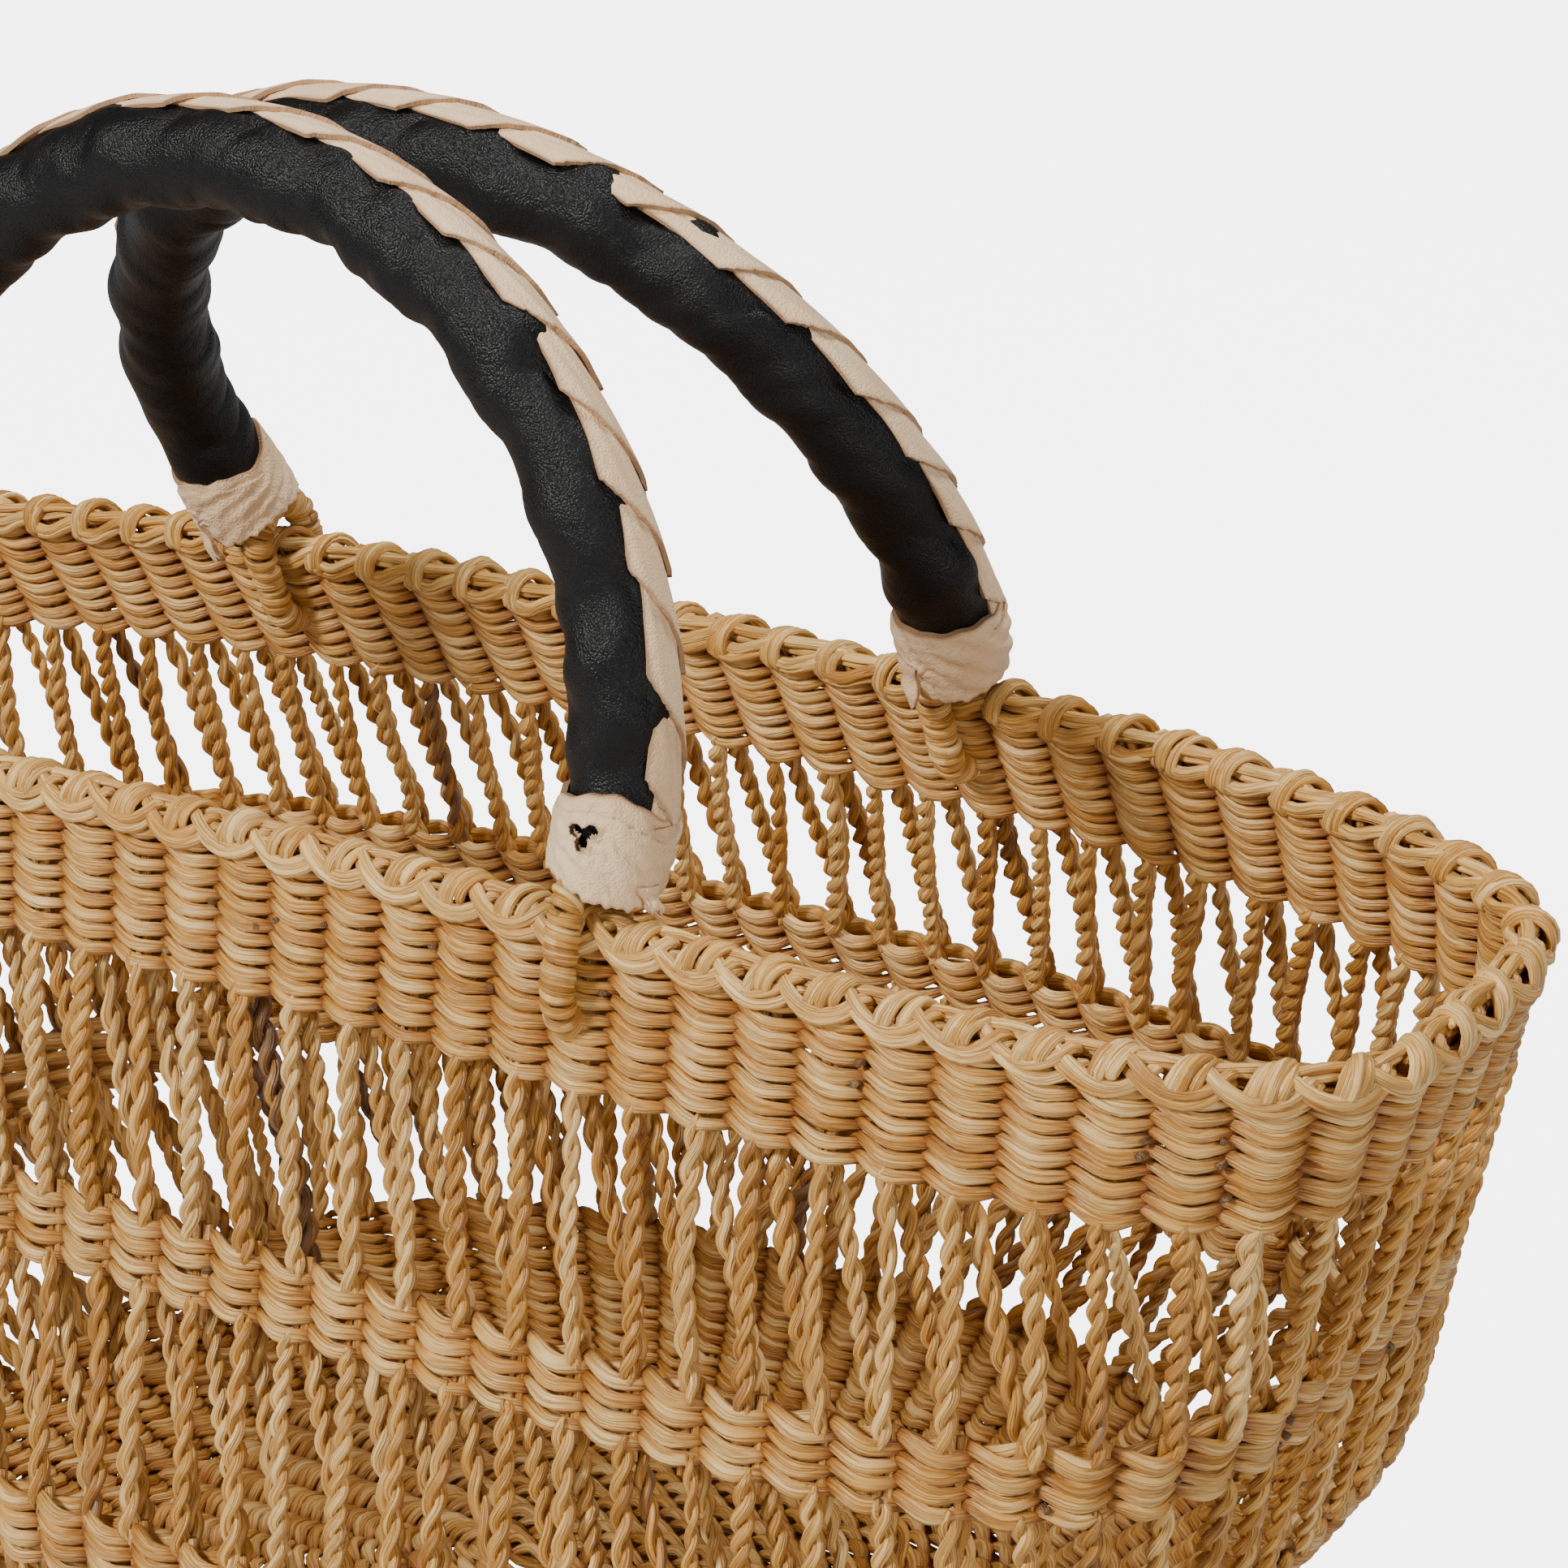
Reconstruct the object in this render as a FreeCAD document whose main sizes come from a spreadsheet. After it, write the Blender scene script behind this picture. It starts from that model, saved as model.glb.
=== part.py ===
"""Open-weave market basket with two leather-covered handles.

Frame: millimetres, +Z up, origin on the ground under the middle of the base.
+X is the long way of the basket, -Y the front side, where the front handle is.
"""
import FreeCAD, Part
import Sketcher
import functools
import math
import os

SIZES = {
    # the woven body: half length, half width and squareness of its outline at six heights
    "foot_half_length": 116, "foot_half_width": 84, "foot_squareness": 2.6,
    "heel_height": 16, "heel_half_length": 136, "heel_half_width": 104, "heel_squareness": 2.8,
    "belly_height": 50, "belly_half_length": 176, "belly_half_width": 127, "belly_squareness": 3.1,
    "shoulder_height": 85, "shoulder_half_length": 208, "shoulder_half_width": 127,
    "shoulder_squareness": 3.3,
    "neck_height": 140, "neck_half_length": 230, "neck_half_width": 101, "neck_squareness": 3.7,
    "rim_height": 235, "rim_half_length": 270, "rim_half_width": 70, "rim_squareness": 3.9,
    "foot_shift": 26,           # the body leans: its foot stands this far to the right of its rim
    "rim_dip": 12.7,            # the rim's two ends are this much lower than its middle
    "wall_thickness": 9,
    "base_thickness": 8,
    # bands of weave, and the open zones between them
    "lower_wall_top": 34,
    "low_band_bottom": 70,
    "low_band_height": 16,
    "middle_band_bottom": 132,
    "middle_band_height": 16,
    "rim_band_depth": 34,       # from the border's centre down to the band's lower edge
    "border_thickness": 8,
    # stakes: two twisted cords for each column of the weave
    "columns": 80,
    "stake_diameter": 4.6,
    "stake_layer_gap": 0.4,     # between the outer and the inner layer of cords
    "stake_tuck": 3,            # how far a cord runs into the band above and below
    "outer_drift": 0.3,         # columns that an outer cord moves sideways on its way down
    "inner_drift": 1.3,         # the same for an inner cord, which crosses behind its neighbour
    # handles
    "arch_radius": 108.3,
    "foot_half_spacing": 100.6, # from the basket's middle to each foot of a handle
    "core_diameter": 20,
    "leather_thickness": 1.5,
    "lacing_thickness": 1.4,
    "lacing_half_angle": 33,    # how far the lacing reaches round the tube, each way
    "front_lacing_turn": 8,     # how far round the tube the lacing sits, towards the rear
    "back_lacing_turn": 33,
    "cuff_thickness": 2,
    "cuff_length": 22,
    "cuff_least_lift": 10.5,    # from the hinge line up to the middle of the cuff's lower edge
    "cuff_gap": 1,              # least rise from where the loop is as wide as the cuff's bore
    "core_lift": 14,            # from the hinge line up to the ends of core and leather
    "front_lean": 10,
    "back_lean": 25,
    "loop_diameter": 8,
    "loop_depth": 21.5,         # from the hinge line down to where the loop goes through the wall
    "loop_lift": 2.5,           # from the hinge line up to the middle of the loop's upper bend
    "loop_clearance": 0.4,      # between the loop and the band that it goes round and through
    "tail_length": 12, "tail_width": 7, "tail_thickness": 1.6,
    "tail_sink": 0.8,           # how far the tail is let into its cuff
    # worked out from the values above
    "bore_radius": "=core_diameter / 2 + leather_thickness",
    "loop_half_width": "=wall_thickness / 2 + loop_clearance + loop_diameter",
    "loop_rise": "=sqrt(max(0; loop_half_width ^ 2 - bore_radius ^ 2))",
    "cuff_lift": "=max(cuff_least_lift; loop_lift + loop_rise + cuff_gap)",
}

doc = FreeCAD.newDocument("market_basket")
sheet = doc.addObject("Spreadsheet::Sheet", "sizes")
for row, (alias, value) in enumerate(SIZES.items(), start=1):
    sheet.set(f"A{row}", alias)
    sheet.set(f"B{row}", str(value))
    sheet.setAlias(f"B{row}", alias)
doc.recompute()
parts = []


def size(alias):
    return float(getattr(sheet, alias))


def keep(thing, label):
    """Makes a document object one of the basket's sub-parts."""
    thing.Label = label
    parts.append(thing)
    return thing


# ---------------------------------------------------------------- shape of the woven body
LEVELS = ["foot", "heel", "belly", "shoulder", "neck", "rim"]
HEIGHTS = [0.0] + [size(f"{level}_height") for level in LEVELS[1:]]


def between_levels(values, z):
    """A smooth curve through one value for each level, read at height z."""
    slopes = []
    for i in range(len(values)):
        low, high = max(i - 1, 0), min(i + 1, len(values) - 1)
        slopes.append((values[high] - values[low]) / (HEIGHTS[high] - HEIGHTS[low]))
    i = max(k for k in range(len(HEIGHTS) - 1) if z >= HEIGHTS[k] or k == 0)
    span = HEIGHTS[i + 1] - HEIGHTS[i]
    t = (z - HEIGHTS[i]) / span
    rise, start = t * t * (3 - 2 * t), t * (1 - t) ** 2
    return (values[i] * (1 - rise) + values[i + 1] * rise
            + span * (slopes[i] * start - slopes[i + 1] * t * t * (1 - t)))


def outline(z, offset=0.0):
    """Half length, half width and squareness of the wall at a height, moved outwards by offset."""
    read = [between_levels([size(f"{level}_{what}") for level in LEVELS], z)
            for what in ("half_length", "half_width", "squareness")]
    return read[0] + offset, read[1] + offset, read[2]


def middle(z):
    """Where the middle of the outline is along X at a height."""
    return size("foot_shift") * (1 - z / size("rim_height"))


def on_outline(a, b, squareness, turn):
    c, s = math.cos(turn), math.sin(turn)
    return (a * math.copysign(abs(c) ** (2 / squareness), c),
            b * math.copysign(abs(s) ** (2 / squareness), s))


def lowered(x, z):
    """The bands follow the rim, which dips towards its two ends; the base stays level."""
    base = size("base_thickness")
    share = math.sqrt(max(z - base, 0) / (size("rim_height") - base))
    return z - size("rim_dip") * share * (x / size("rim_half_length")) ** 2


def level_edge(z, offset, points=64):
    """The wall's outline at one height, as one closed smooth edge."""
    a, b, squareness = outline(z, offset)
    spots = []
    for k in range(points):
        x, y = on_outline(a, b, squareness, 2 * math.pi * k / points)
        spots.append(FreeCAD.Vector(x + middle(z), y, lowered(x, z)))
    curve = Part.BSplineCurve()
    curve.interpolate(Points=spots, PeriodicFlag=True)
    return curve.toShape()


@functools.lru_cache(maxsize=None)
def measured_outline(z):
    """Closely spaced points round the middle of the wall, and the length up to each."""
    a, b, squareness = outline(z)
    fine = 2400
    spots = [on_outline(a, b, squareness, 2 * math.pi * k / fine) for k in range(fine + 1)]
    lengths = [0.0]
    for p, q in zip(spots, spots[1:]):
        lengths.append(lengths[-1] + math.dist(p, q))
    return spots, lengths


def column_middle(z, column):
    """Where a column of the weave crosses a height: columns are evenly spaced along the outline."""
    spots, lengths = measured_outline(z)
    count = size("columns")
    target = (column % count) / count * lengths[-1]
    k = next(i for i in range(len(lengths) - 1) if lengths[i + 1] >= target)
    share = (target - lengths[k]) / (lengths[k + 1] - lengths[k])
    x = spots[k][0] + share * (spots[k + 1][0] - spots[k][0])
    y = spots[k][1] + share * (spots[k + 1][1] - spots[k][1])
    return FreeCAD.Vector(x + middle(z), y, lowered(x, z))


def column_point(z, offset, column):
    """A point at a distance from the middle of the wall, square to it: outwards is positive."""
    step = 0.2
    across = column_middle(z, column + step) - column_middle(z, column - step)
    up = column_middle(z + step, column) - column_middle(z - step, column)
    return column_middle(z, column) + across.cross(up).normalize() * offset


def ring(corners):
    """A closed ring whose section has the given (height, offset) corners, in order round it."""
    edges = [level_edge(z, offset) for z, offset in corners]
    faces = [Part.makeRuledSurface(p, q) for p, q in zip(edges, edges[1:] + edges[:1])]
    return Part.makeSolid(Part.makeShell(faces))


def wall_section(bottom, top, steps):
    half = size("wall_thickness") / 2
    heights = [bottom + (top - bottom) * k / steps for k in range(steps + 1)]
    return [(z, half) for z in heights] + [(z, -half) for z in reversed(heights)]


def woven(label, shape):
    piece = doc.addObject("Part::Feature", label)
    piece.Shape = shape
    piece.Placement = FreeCAD.Placement()
    return piece


# ---------------------------------------------------------------- base, wall, bands and border
base_top = size("base_thickness")


def disc(bottom, top, offset):
    """A flat solid between two heights, whose rim slants as the wall does."""
    low, high = level_edge(bottom, offset), level_edge(top, offset)
    faces = [Part.Face(Part.Wire(low)), Part.makeRuledSurface(low, high), Part.Face(Part.Wire(high))]
    return Part.makeSolid(Part.makeShell(faces))


keep(woven("base_disc", disc(0, base_top, size("wall_thickness") / 2)), "base_disc")
low_band_top = size("low_band_bottom") + size("low_band_height")
middle_band_top = size("middle_band_bottom") + size("middle_band_height")
rim_band_bottom = size("rim_height") - size("rim_band_depth")
rim_band_top = size("rim_height") - size("border_thickness") / 2
keep(woven("lower_wall", ring(wall_section(base_top, size("lower_wall_top"), steps=3))), "lower_wall")
keep(woven("low_band", ring(wall_section(size("low_band_bottom"), low_band_top, steps=1))), "low_band")
keep(woven("middle_band", ring(wall_section(size("middle_band_bottom"), middle_band_top, steps=1))),
     "middle_band")
rim_band_blank = woven("rim_band_blank", ring(wall_section(rim_band_bottom, rim_band_top, steps=2)))

half_border = size("border_thickness") / 2
chamfer = half_border * 0.45   # the border is nearly round
border_section = [(size("rim_height") + dz, dy) for dz, dy in (
    (-half_border, half_border - chamfer), (-half_border + chamfer, half_border),
    (half_border - chamfer, half_border), (half_border, half_border - chamfer),
    (half_border, chamfer - half_border), (half_border - chamfer, -half_border),
    (-half_border + chamfer, -half_border), (-half_border, chamfer - half_border))]
keep(woven("rim_border", ring(border_section)), "rim_border")


# ---------------------------------------------------------------- twisted stakes of the open zones
def stakes(label, bottom, top, offset, first, drift):
    """One straight cord for each column, from the columns above to those drift further on below."""
    rods = []
    for column in range(int(size("columns"))):
        low = column_point(bottom, offset, column + first + drift)
        high = column_point(top, offset, column + first)
        along = (high - low).normalize()
        start = low - along * size("stake_tuck")
        length = (high - low).Length + 2 * size("stake_tuck")
        rods.append(Part.makeCylinder(size("stake_diameter") / 2, length, start, along))
    return keep(woven(label, Part.makeCompound(rods)), label)


layer = (size("stake_diameter") + size("stake_layer_gap")) / 2
for zone, bottom, top, bands_above in (
        ("lower", size("lower_wall_top"), size("low_band_bottom"), 2),
        ("middle", low_band_top, size("middle_band_bottom"), 1),
        ("upper", middle_band_top, rim_band_bottom, 0)):
    first = 0.5 + bands_above * size("outer_drift")
    stakes(f"{zone}_stakes_outer", bottom, top, layer, first, size("outer_drift"))
    stakes(f"{zone}_stakes_inner", bottom, top, -layer, first, size("inner_drift"))


# ---------------------------------------------------------------- handles
Y_AXIS, X_AXIS = FreeCAD.Vector(0, 1, 0), FreeCAD.Vector(1, 0, 0)


def under_foot(depth):
    """The middle of the back wall at a depth below the rim, straight below a handle's right foot."""
    z = size("rim_height") - depth
    a, b, squareness = outline(z)
    x = size("foot_half_spacing")
    y = b * (1 - (x / a) ** squareness) ** (1 / squareness)
    return FreeCAD.Vector(x, y, lowered(x, z))


foot, loop_hole = under_foot(0), under_foot(size("loop_depth"))
wall_slant = math.degrees(math.atan2(loop_hole.y - foot.y, foot.z - loop_hole.z))

# each arch is a circle through its two feet, on the hinge line
CENTRE_LIFT = "sqrt(sizes.arch_radius ^ 2 - sizes.foot_half_spacing ^ 2)"
centre_lift = math.sqrt(size("arch_radius") ** 2 - size("foot_half_spacing") ** 2)
LIFT_ANGLE = "asin((" + CENTRE_LIFT + " - sizes.{0}) / sizes.arch_radius)"
CORE_SWEEP = f"180deg + 2 * {LIFT_ANGLE.format('core_lift')}"
CUFF_SWEEP = "sizes.cuff_length / sizes.arch_radius * 180deg / pi"
TUBE_RADIUS = "sizes.core_diameter / 2 + sizes.leather_thickness"


def at_hinge(side, lean):
    """A handle's own frame: its origin on the hinge line, its plane leaning over the mouth."""
    return FreeCAD.Placement(FreeCAD.Vector(0, side * foot.y, foot.z),
                             FreeCAD.Rotation(X_AXIS, side * lean))


def on_arch(side, lean, turn):
    """The handle's frame moved to the arch's centre and turned along the arch, in degrees."""
    centre = FreeCAD.Vector(0, 0, centre_lift)
    return at_hinge(side, lean).multiply(FreeCAD.Placement(centre, FreeCAD.Rotation(Y_AXIS, turn)))


def arch_body(label, place):
    """An empty body with a sketch across the arch, and the sketch's middle at the arch radius."""
    body = doc.addObject("PartDesign::Body", label)
    sketch = body.newObject("Sketcher::SketchObject", f"{label}_section")
    across = next(f for f in body.Origin.OriginFeatures if f.Role == "YZ_Plane")
    sketch.AttachmentSupport = (across, [""])
    sketch.MapMode = "FlatFace"
    body.Placement = place
    return body, sketch


def add_circle(sketch, radius_rule):
    middle = FreeCAD.Vector(0, size("arch_radius"), 0)
    circle = sketch.addGeometry(Part.Circle(middle, FreeCAD.Vector(0, 0, 1), size("core_diameter")))
    bind = Sketcher.Constraint
    sketch.addConstraint(bind("PointOnObject", circle, 3, -2))
    height = sketch.addConstraint(bind("DistanceY", -1, 1, circle, 3, size("arch_radius")))
    radius = sketch.addConstraint(bind("Radius", circle, size("core_diameter")))
    sketch.setExpression(f"Constraints[{height}]", "sizes.arch_radius")
    sketch.setExpression(f"Constraints[{radius}]", radius_rule)


def add_strip(sketch, turn_name, inner_rule, outer_rule):
    """A strip that hugs the outer side of the tube, as two arcs joined by two short lines."""
    middle = FreeCAD.Vector(0, size("arch_radius"), 0)
    half = math.radians(size("lacing_half_angle"))
    rear = math.radians(size(turn_name))
    inner_radius = size("core_diameter") / 2 + size("leather_thickness")
    outer_radius = inner_radius + size("lacing_thickness")

    def spot(radius, angle):
        return middle + FreeCAD.Vector(-radius * math.sin(angle), radius * math.cos(angle), 0)

    arcs = [sketch.addGeometry(Part.ArcOfCircle(Part.Circle(middle, FreeCAD.Vector(0, 0, 1), radius),
                                                math.pi / 2 - rear - half,
                                                math.pi / 2 - rear + half))
            for radius in (inner_radius, outer_radius)]
    lines = [sketch.addGeometry(Part.LineSegment(spot(inner_radius, a), spot(outer_radius, a)))
             for a in (-rear - half, -rear + half)]
    bind = Sketcher.Constraint
    sketch.addConstraint(bind("Coincident", arcs[0], 3, arcs[1], 3))
    sketch.addConstraint(bind("PointOnObject", arcs[0], 3, -2))
    for line, end in zip(lines, (1, 2)):
        sketch.addConstraint(bind("Coincident", line, 1, arcs[0], end))
        sketch.addConstraint(bind("Coincident", line, 2, arcs[1], end))
        sketch.addConstraint(bind("PointOnObject", arcs[0], 3, line))
    height = sketch.addConstraint(bind("DistanceY", -1, 1, arcs[0], 3, size("arch_radius")))
    radii = [sketch.addConstraint(bind("Radius", arc, radius))
             for arc, radius in zip(arcs, (inner_radius, outer_radius))]
    turn = sketch.addConstraint(bind("Angle", lines[0], 1, -2, 1, half + rear))
    reach = sketch.addConstraint(bind("Angle", lines[0], 1, lines[1], 1, 2 * half))
    sketch.setExpression(f"Constraints[{height}]", "sizes.arch_radius")
    sketch.setExpression(f"Constraints[{radii[0]}]", inner_rule)
    sketch.setExpression(f"Constraints[{radii[1]}]", outer_rule)
    sketch.setExpression(f"Constraints[{turn}]",
                         f"(sizes.lacing_half_angle + sizes.{turn_name}) * 1deg")
    sketch.setExpression(f"Constraints[{reach}]", "2 * sizes.lacing_half_angle * 1deg")


def sweep_round(body, sketch, sweep_rule):
    """Turns the section about the arch's centre, equally to both sides of the sketch."""
    turned = body.newObject("PartDesign::Revolution", f"{body.Label}_sweep")
    turned.Profile = sketch
    turned.ReferenceAxis = (sketch, ["H_Axis"])
    turned.Midplane = True
    turned.setExpression("Angle", sweep_rule)
    return keep(body, body.Label)


def arch_tube(label, place, sweep_rule, *radius_rules):
    body, sketch = arch_body(label, place)
    for rule in radius_rules:
        add_circle(sketch, rule)
    return sweep_round(body, sketch, sweep_rule)


def primitive(kind, name, place, **rules):
    solid = doc.addObject(kind, name)
    for what, rule in rules.items():
        solid.setExpression(what, rule)
    solid.Placement = place
    return solid


LOOP_REACH = "sizes.wall_thickness / 2 + sizes.loop_clearance + sizes.loop_diameter / 2"
loop_reach = (size("wall_thickness") + size("loop_diameter")) / 2 + size("loop_clearance")
LOOP_LEG = f"sizes.loop_lift + sizes.loop_depth - ({LOOP_REACH})"


def loop_parts(name, side, foot_side, radius_rule):
    """The solids of one loop: an upper and a lower half ring, and two straight legs."""
    wall = FreeCAD.Placement(FreeCAD.Vector(foot_side * foot.x, side * foot.y, foot.z),
                             FreeCAD.Rotation(X_AXIS, side * wall_slant))
    ring_plane = FreeCAD.Rotation(FreeCAD.Vector(1, 1, 1), 120)
    bottom = loop_reach - size("loop_depth")
    solids = []
    for which, height, flip in (("upper", size("loop_lift"), 0), ("lower", bottom, 180)):
        turn = FreeCAD.Rotation(X_AXIS, flip).multiply(ring_plane)
        place = wall.multiply(FreeCAD.Placement(FreeCAD.Vector(0, 0, height), turn))
        solids.append(primitive("Part::Torus", f"{name}_{which}", place, Radius1=LOOP_REACH,
                                Radius2=radius_rule, Angle3="180deg"))
    for which, across in (("outer_leg", loop_reach), ("inner_leg", -loop_reach)):
        place = wall.multiply(FreeCAD.Placement(FreeCAD.Vector(0, across, bottom),
                                                FreeCAD.Rotation()))
        solids.append(primitive("Part::Cylinder", f"{name}_{which}", place, Radius=radius_rule,
                                Height=LOOP_LEG))
    return solids


def joined(label, solids):
    fused = doc.addObject("Part::MultiFuse", label)
    fused.Shapes = solids
    return fused


holes = []
for handle, side, lean in (("front", -1, size("front_lean")), ("back", 1, size("back_lean"))):
    whole = on_arch(side, lean, 0)
    arch_tube(f"{handle}_core", whole, CORE_SWEEP, "sizes.core_diameter / 2")
    arch_tube(f"{handle}_leather_cover", whole, CORE_SWEEP, "sizes.core_diameter / 2", TUBE_RADIUS)
    body, sketch = arch_body(f"{handle}_lacing", whole)
    add_strip(sketch, f"{handle}_lacing_turn", TUBE_RADIUS, f"{TUBE_RADIUS} + sizes.lacing_thickness")
    lacing_sweep = f"180deg + 2 * {LIFT_ANGLE.format('cuff_lift')} - 2 * {CUFF_SWEEP}"
    sweep_round(body, sketch, lacing_sweep)
    cuff_start = math.degrees(math.asin((centre_lift - size("cuff_lift")) / size("arch_radius")))
    half_cuff = math.degrees(size("cuff_length") / size("arch_radius")) / 2
    for hand, foot_side in (("left", -1), ("right", 1)):
        turn = foot_side * (90 + cuff_start - half_cuff)
        place = on_arch(side, lean, turn)
        arch_tube(f"{handle}_cuff_{hand}", place, CUFF_SWEEP, TUBE_RADIUS,
                  f"{TUBE_RADIUS} + sizes.cuff_thickness")
        cuff_radius = (size("core_diameter") / 2 + size("leather_thickness")
                       + size("cuff_thickness"))
        corner = FreeCAD.Vector(-size("tail_length") / 2, size("tail_sink") - cuff_radius
                                - size("tail_thickness"), size("arch_radius") - size("tail_width") / 2)
        keep(primitive("Part::Box", f"{handle}_cuff_tail_{hand}",
                       place.multiply(FreeCAD.Placement(corner, FreeCAD.Rotation())),
                       Length="sizes.tail_length", Width="sizes.tail_thickness",
                       Height="sizes.tail_width"), f"{handle}_cuff_tail_{hand}")
        loop = joined(f"{handle}_loop_{hand}",
                      loop_parts(f"{handle}_{hand}", side, foot_side, "sizes.loop_diameter / 2"))
        keep(loop, f"{handle}_loop_{hand}")
        holes += loop_parts(f"{handle}_{hand}_hole", side, foot_side,
                            "sizes.loop_diameter / 2 + sizes.loop_clearance")

# the rim band, with a hole under each handle foot for its loop
rim_band = doc.addObject("Part::Cut", "rim_band")
rim_band.Base = rim_band_blank
rim_band.Tool = joined("loop_holes", holes)
keep(rim_band, "rim_band")

# ---------------------------------------------------------------- check and write
doc.recompute()
for thing in doc.Objects:
    if "Invalid" in thing.State or "Error" in thing.State:
        raise RuntimeError(f"{thing.Label} did not compute: {thing.State}")
os.makedirs("parts", exist_ok=True)
for piece in parts:
    shape = piece.Shape
    if shape.isNull() or not shape.isValid() or not shape.Solids:
        raise RuntimeError(f"{piece.Label} is not a valid solid")
    shape.exportStep(f"parts/{piece.Label}.step")
    box = shape.BoundBox
    print(f"{piece.Label:24s} {len(shape.Solids):3d} solids {shape.Volume / 1000:9.1f} cm3"
          f"  x {box.XMin:7.1f} {box.XMax:7.1f}  y {box.YMin:7.1f} {box.YMax:7.1f}"
          f"  z {box.ZMin:7.1f} {box.ZMax:7.1f}")
print("hinge line: y", round(foot.y, 3), "z", round(foot.z, 3), "foot x", round(foot.x, 3))
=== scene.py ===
import math
import bpy
import numpy as np
from mathutils import Matrix


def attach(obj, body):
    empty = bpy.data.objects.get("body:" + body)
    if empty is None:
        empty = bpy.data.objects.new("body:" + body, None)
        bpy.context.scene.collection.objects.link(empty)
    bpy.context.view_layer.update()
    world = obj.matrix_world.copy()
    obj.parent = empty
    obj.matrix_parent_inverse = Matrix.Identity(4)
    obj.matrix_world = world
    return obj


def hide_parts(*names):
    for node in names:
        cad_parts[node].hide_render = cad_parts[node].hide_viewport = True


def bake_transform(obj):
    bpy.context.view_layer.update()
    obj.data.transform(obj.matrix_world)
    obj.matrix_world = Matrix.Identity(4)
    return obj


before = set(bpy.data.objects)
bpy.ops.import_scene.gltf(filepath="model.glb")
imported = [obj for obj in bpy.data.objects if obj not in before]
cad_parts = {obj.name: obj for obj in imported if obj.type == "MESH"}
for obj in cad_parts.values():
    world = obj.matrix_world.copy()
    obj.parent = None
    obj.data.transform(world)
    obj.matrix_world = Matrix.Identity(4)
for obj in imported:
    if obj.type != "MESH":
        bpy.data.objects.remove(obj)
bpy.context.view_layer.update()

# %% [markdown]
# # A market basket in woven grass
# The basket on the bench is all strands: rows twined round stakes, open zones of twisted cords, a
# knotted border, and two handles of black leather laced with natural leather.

MM = 0.001
draw = np.random.default_rng(11)

# %% [markdown]
# ## The wall as a surface to weave on
# Every row and cord lies on one swelling oval wall. We could model that wall and project strands on
# it, but a small table of its outline at six heights is enough: from it we can ask for the wall's
# middle at any column and height, together with the outward and the upward direction there.
# Columns are numbered round the mouth from the right end, and there are eighty of them.

# %% The wall's outline at six heights
COLUMNS = 80
BASE_TOP, RIM, RIM_DIP = 8 * MM, 235 * MM, 12.7 * MM
LEVELS = np.array([0, 16, 50, 85, 140, 235]) * MM
HALF_LENGTHS = np.array([116, 136, 176, 208, 230, 270]) * MM
HALF_WIDTHS = np.array([84, 104, 127, 127, 101, 70]) * MM
SQUARENESS = np.array([2.6, 2.8, 3.1, 3.3, 3.7, 3.9])
FOOT_SHIFT = 26 * MM


def between_levels(values, z):
    """A smooth curve through the six values, read at heights z."""
    slopes = np.empty(6)
    slopes[1:-1] = (values[2:] - values[:-2]) / (LEVELS[2:] - LEVELS[:-2])
    slopes[0] = (values[1] - values[0]) / (LEVELS[1] - LEVELS[0])
    slopes[-1] = (values[-1] - values[-2]) / (LEVELS[-1] - LEVELS[-2])
    i = np.clip(np.searchsorted(LEVELS, z, side="right") - 1, 0, 4)
    span = LEVELS[i + 1] - LEVELS[i]
    t = (z - LEVELS[i]) / span
    rise, start = t * t * (3 - 2 * t), t * (1 - t) ** 2
    return (values[i] * (1 - rise) + values[i + 1] * rise
            + span * (slopes[i] * start - slopes[i + 1] * t * t * (1 - t)))


OUTLINE_STEPS = 1600


def oval(a, b, squareness, steps=6000):
    """Points round a squarish oval, evenly spaced along it, from the right end."""
    turn = np.linspace(0, 2 * math.pi, steps + 1)
    c, s = np.cos(turn), np.sin(turn)
    x = a * np.sign(c) * np.abs(c) ** (2 / squareness)
    y = b * np.sign(s) * np.abs(s) ** (2 / squareness)
    length = np.concatenate([[0], np.cumsum(np.hypot(np.diff(x), np.diff(y)))])
    even = np.linspace(0, length[-1], OUTLINE_STEPS + 1)
    return np.interp(even, length, x), np.interp(even, length, y), length[-1]


WALL_HEIGHTS = np.arange(0, 242) * MM
wall_table = np.empty((len(WALL_HEIGHTS), OUTLINE_STEPS + 1, 3))
for row, z in enumerate(WALL_HEIGHTS):
    x, y, around = oval(*(between_levels(v, z) for v in (HALF_LENGTHS, HALF_WIDTHS, SQUARENESS)))
    share = math.sqrt(max(z - BASE_TOP, 0) / (RIM - BASE_TOP))
    middle = FOOT_SHIFT * (1 - z / RIM)
    dip = RIM_DIP * share * (x / HALF_LENGTHS[-1]) ** 2
    wall_table[row] = np.stack([x + middle, y, z - dip], axis=1)
print(f"wall: {around * 1000:.0f} mm round the rim, {around * 1000 / COLUMNS:.1f} mm a column")

# %% Reading the wall
def unit(v):
    return v / np.maximum(np.linalg.norm(v, axis=-1, keepdims=True), 1e-12)


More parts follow.
